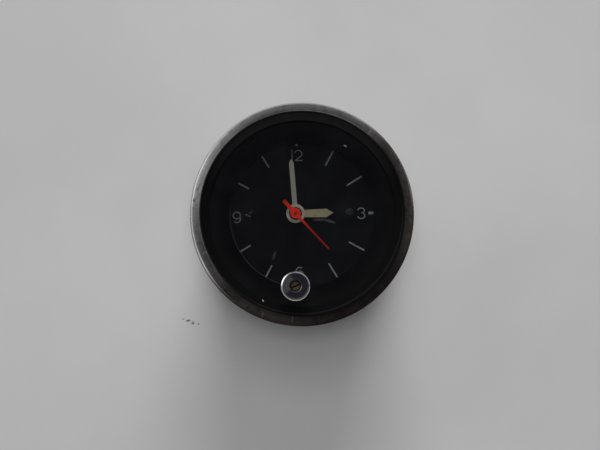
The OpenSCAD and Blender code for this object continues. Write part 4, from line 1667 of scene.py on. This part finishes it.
@dataclass
class Solids:
    """Solids that keep their own shape and only get their finish here."""

    frame: dict[str, Any]
    edges: tuple[tuple[str, float], ...] = (
        ("can", 0.1), ("case_screws", 0.12), ("power_blade", 0.1),
        ("blade_insulator", 0.25), ("lamp_holder", 0.2),
    )
    # Painted shade along the slot of the knob's screw.
    screw_slot_shade: Mark = Mark(Front.stem, (2.6, 0.25), 23.0)
    smears: tuple[Mark, ...] = (
        Mark((12.6, 0.5), (1.4, 1.1), 10.0, 0.035),
        Mark((-7.4, -11.1), (1.7, 0.5), 72.0, 0.045),
    )
    scuffs: tuple[Mark, ...] = (
        Mark((-14.3, -0.6), (1.1, 0.28), -20.0, 0.05),
        Mark((-13.6, 0.3), (0.8, 0.3), 40.0, 0.028),
        Mark((4.7, -1.65), (2.3, 0.4), 1.0, 0.042),
        Mark((7.4, -2.05), (2.0, 0.45), -18.0, 0.042),
        Mark((11.55, 18.05), (0.62, 0.14), -22.0, 0.4),
    )

    def build(self) -> None:
        """Dresses every solid that is still shown."""
        slots = {row["node"]: row["material_slot"] for row in self.frame["record"]["subparts"]}
        finishes = self.metals() | self.others()
        edges = dict(self.edges)
        made: dict[str, Material] = {}
        for name, node in sorted(self.frame["nodes"].items()):
            if node.hide_render:
                continue
            slot = slots[name]
            if slot not in made:
                made[slot] = finishes[slot].material()
            dress(node, made[slot])
            if name in edges:
                soften(node, edges[name])
            LOG.info("%s: finished as %s", name, slot)

    def metals(self) -> dict[str, Finish]:
        """The finishes of the metal solids.

        Returns:
            A finish for each of the record's slots.
        """
        return {
            "zinc_steel": BareMetal(
                "zinc_plate", (0.42, 0.43, 0.44), (0.27, 0.26, 0.245), 0.38, Grain.ROLLED, 0.6
            ),
            "steel": BareMetal(
                "turned_steel", (0.50, 0.50, 0.51), (0.22, 0.19, 0.16), 0.28, Grain.TURNED, 0.5
            ),
            "iron": BareMetal(
                "soft_iron", (0.20, 0.20, 0.205), (0.13, 0.09, 0.06), 0.45, Grain.ROLLED, 0.6
            ),
            "brass": BareMetal(
                "turned_brass", (0.62, 0.44, 0.17), (0.30, 0.20, 0.09), 0.27, Grain.TURNED, 0.5
            ),
            "screw_brass": BareMetal(
                "old_brass", (0.86, 0.68, 0.40), (0.10, 0.06, 0.035), 0.42, Grain.PLAIN, 0.4,
                slots=(self.screw_slot_shade,),
            ),
            "bush_dark": BareMetal(
                "dark_brass", (0.06, 0.05, 0.035), (0.03, 0.025, 0.02), 0.5, Grain.PLAIN, 0.6
            ),
            "copper_wire": BareMetal(
                "copper_wire", (0.55, 0.22, 0.10), (0.25, 0.09, 0.04), 0.3, Grain.WOUND, 0.4
            ),
        }

    def others(self) -> dict[str, Finish]:
        """The finishes of the glass, plastic and painted solids.

        Returns:
            A finish for each of the record's slots.
        """
        return {
            "insulator": Moulding("phenolic", (0.12, 0.05, 0.02), 0.45, 0.3),
            "holder_plastic": Moulding("black_moulding", (0.02, 0.02, 0.021), 0.42, 0.35),
            "lamp_glass": WindowGlass("lamp_glass"),
            "glass": WindowGlass("window_glass", self.smears, self.scuffs),
            "dial_black": BlackEnamel("dial_enamel", (0.0022, 0.0022, 0.0024), 0.62, 0.012, 0.22),
        }


# Surroundings

@dataclass(frozen=True)
class Lamp:
    """A soft square lamp, with its place and its side in metres and its power in watts."""

    name: str
    place: Corner
    side: float
    power: float
    colour: Colour = (1.0, 1.0, 1.0)

    def build(self) -> None:
        """Adds the lamp so that it faces the clock and isn't mirrored in it."""
        data = bpy.data.lights.new(self.name, "AREA")
        data.shape = "SQUARE"
        data.size = self.side
        data.energy = self.power
        data.color = self.colour
        lamp = bpy.data.objects.new(self.name, data)
        lamp.location = self.place
        lamp.rotation_euler = (-Vector(self.place)).to_track_quat("-Z", "Y").to_euler()
        lamp.visible_glossy = False
        bpy.context.scene.collection.objects.link(lamp)


@dataclass
class Studio:
    """Table, light and camera, none of which belongs to the clock."""

    picture: tuple[int, int] = (600, 450)
    clock_px: Point = (301.9, 214.2)
    bezel_px: float = 112.0
    bezel_r: float = Front.bezel_r
    distance: float = 480.0
    tilt: float = 3.7
    sensor: float = 36.0
    table_half_m: float = 1.2
    crumbs: tuple[Mark, ...] = (
        Mark((-33.6, -28.2), (0.9, 0.45), 15.0),
        Mark((-32.2, -28.9), (0.6, 0.7)),
        Mark((-35.0, -27.7), (0.5, 0.3)),
        Mark((-30.5, -29.2), (0.35, 0.3)),
    )
    lit_way: Corner = (-0.574, 0.819, 0.0)
    glow_way: Corner = (-0.68, 0.39, 0.62)
    window_way: Corner = (-0.88, 0.47, 0.0)
    lamps: tuple[Lamp, ...] = (
        Lamp("window", (0.09, 1.1, 0.80), 0.58, 8.8),
        Lamp("skylight", (0.0, 0.27, 1.05), 0.3, 1.5),
        Lamp("ceiling", (0.0, 0.0, 1.1), 0.2, 2.9, (1.0, 0.99, 0.98)),
    )

    def build(self, table_z: float) -> None:
        """Sets up everything round the clock.

        Args:
            table_z: Height of the surface that it stands on, in metres.
        """
        bpy.context.scene.view_settings.view_transform = "Standard"
        self.camera()
        self.table(table_z)
        self.room()
        for lamp in self.lamps:
            lamp.build()

    def camera(self) -> None:
        """Places the camera so that the clock fills the same part of the frame as in the photograph."""
        per_mm = self.bezel_px / self.bezel_r
        tilt = math.radians(self.tilt)
        back = Vector((0.0, -math.sin(tilt), math.cos(tilt)))
        up = Vector((0.0, math.cos(tilt), math.sin(tilt)))
        right = Vector((1.0, 0.0, 0.0))
        across = (self.picture[0] / 2 - self.clock_px[0]) / per_mm
        rise = (self.clock_px[1] - self.picture[1] / 2) / per_mm
        stand = back * self.distance
        aim = right * across + up * rise
        data = bpy.data.cameras.new("camera")
        data.sensor_width = self.sensor
        data.lens = self.sensor * self.distance * per_mm / self.picture[0]
        camera = bpy.data.objects.new("camera", data)
        depth = (stand - aim).normalized()
        level = Vector((0.0, 1.0, 0.0)).cross(depth).normalized()
        turn = Matrix((level, depth.cross(level), depth)).transposed()
        camera.matrix_world = Matrix.Translation(stand * MM) @ turn.to_4x4()
        bpy.context.scene.collection.objects.link(camera)
        bpy.context.scene.camera = camera

    def table(self, height: float) -> None:
        """A wide pale table top with a few crumbs.

        Args:
            height: Where its top lies, in metres.
        """
        bm = bmesh.new()
        bmesh.ops.create_grid(bm, x_segments=1, y_segments=1, size=self.table_half_m)
        piece = new_piece("table_top", bm)
        piece.location.z = height
        material, s = new_shading("pale_table")
        cloud = s.noise(0.012, 4.0)
        grain = s.noise(0.5, 3.0)
        base = s.tint((0.695, 0.695, 0.695), (0.652, 0.652, 0.656), cloud.step(0.35, 0.65))
        crumbs = s.marked(s.spot(self.crumbs[0]), self.crumbs[1:])
        base = s.tint(base, (0.16, 0.12, 0.07), crumbs * s.noise(1.5, 3.0).step(0.35, 0.6))
        s.show(s.surface(Base_Color=base, Roughness=0.6 + grain * 0.1, Specular_IOR_Level=0.2))
        dress(piece, material)
        piece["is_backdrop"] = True

    def room(self) -> None:
        """A dim room, lighter towards one upper corner, which polished metal mirrors."""
        world = bpy.data.worlds.new("room")
        world.use_nodes = True
        bpy.context.scene.world = world
        s = Shading(world.node_tree)
        way = s.node("ShaderNodeTexCoord", {}, {}, "Generated")
        _, _, height = s.axes(way)
        side = s.dot(way, self.lit_way)
        lit = s.tint((0.080, 0.081, 0.083), (0.145, 0.147, 0.15), height.step(0.76, 0.48))
        room = s.tint((0.0, 0.0, 0.0), (0.015, 0.012, 0.0105), side.step(-0.85, -0.35))
        room = s.tint(room, lit, side.step(0.0, 0.55))
        room = s.tint(room, (0.24, 0.243, 0.247), s.dot(way, self.glow_way).step(0.88, 0.99))
        room = s.tint(room, (0.052, 0.051, 0.058), height.step(0.90, 0.97))
        window = s.dot(way, self.window_way).step(0.84, 0.99)
        walls = s.tint((0.36, 0.35, 0.35), (2.4, 2.43, 2.48), window)
        room = s.tint(room, walls, height.step(0.32, 0.14) * height.step(-0.2, -0.05))
        shader = s.node("ShaderNodeBackground", {}, {"Color": room, "Strength": 1.0})
        s.show(shader, "ShaderNodeOutputWorld")


def main() -> None:
    """Builds the clock's looks in order."""
    logging.basicConfig(level=logging.INFO, format="%(name)s: %(message)s")
    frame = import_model()
    low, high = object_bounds()
    Studio().build(low.z)
    Front().build()
    DialPrint().build()
    Hands().build()
    Knob().build()
    Studs().build()
    Springs().build(frame["record"]["behaviour"]["joints"])
    Solids(frame).build()


if __name__ == "__main__":
    main()
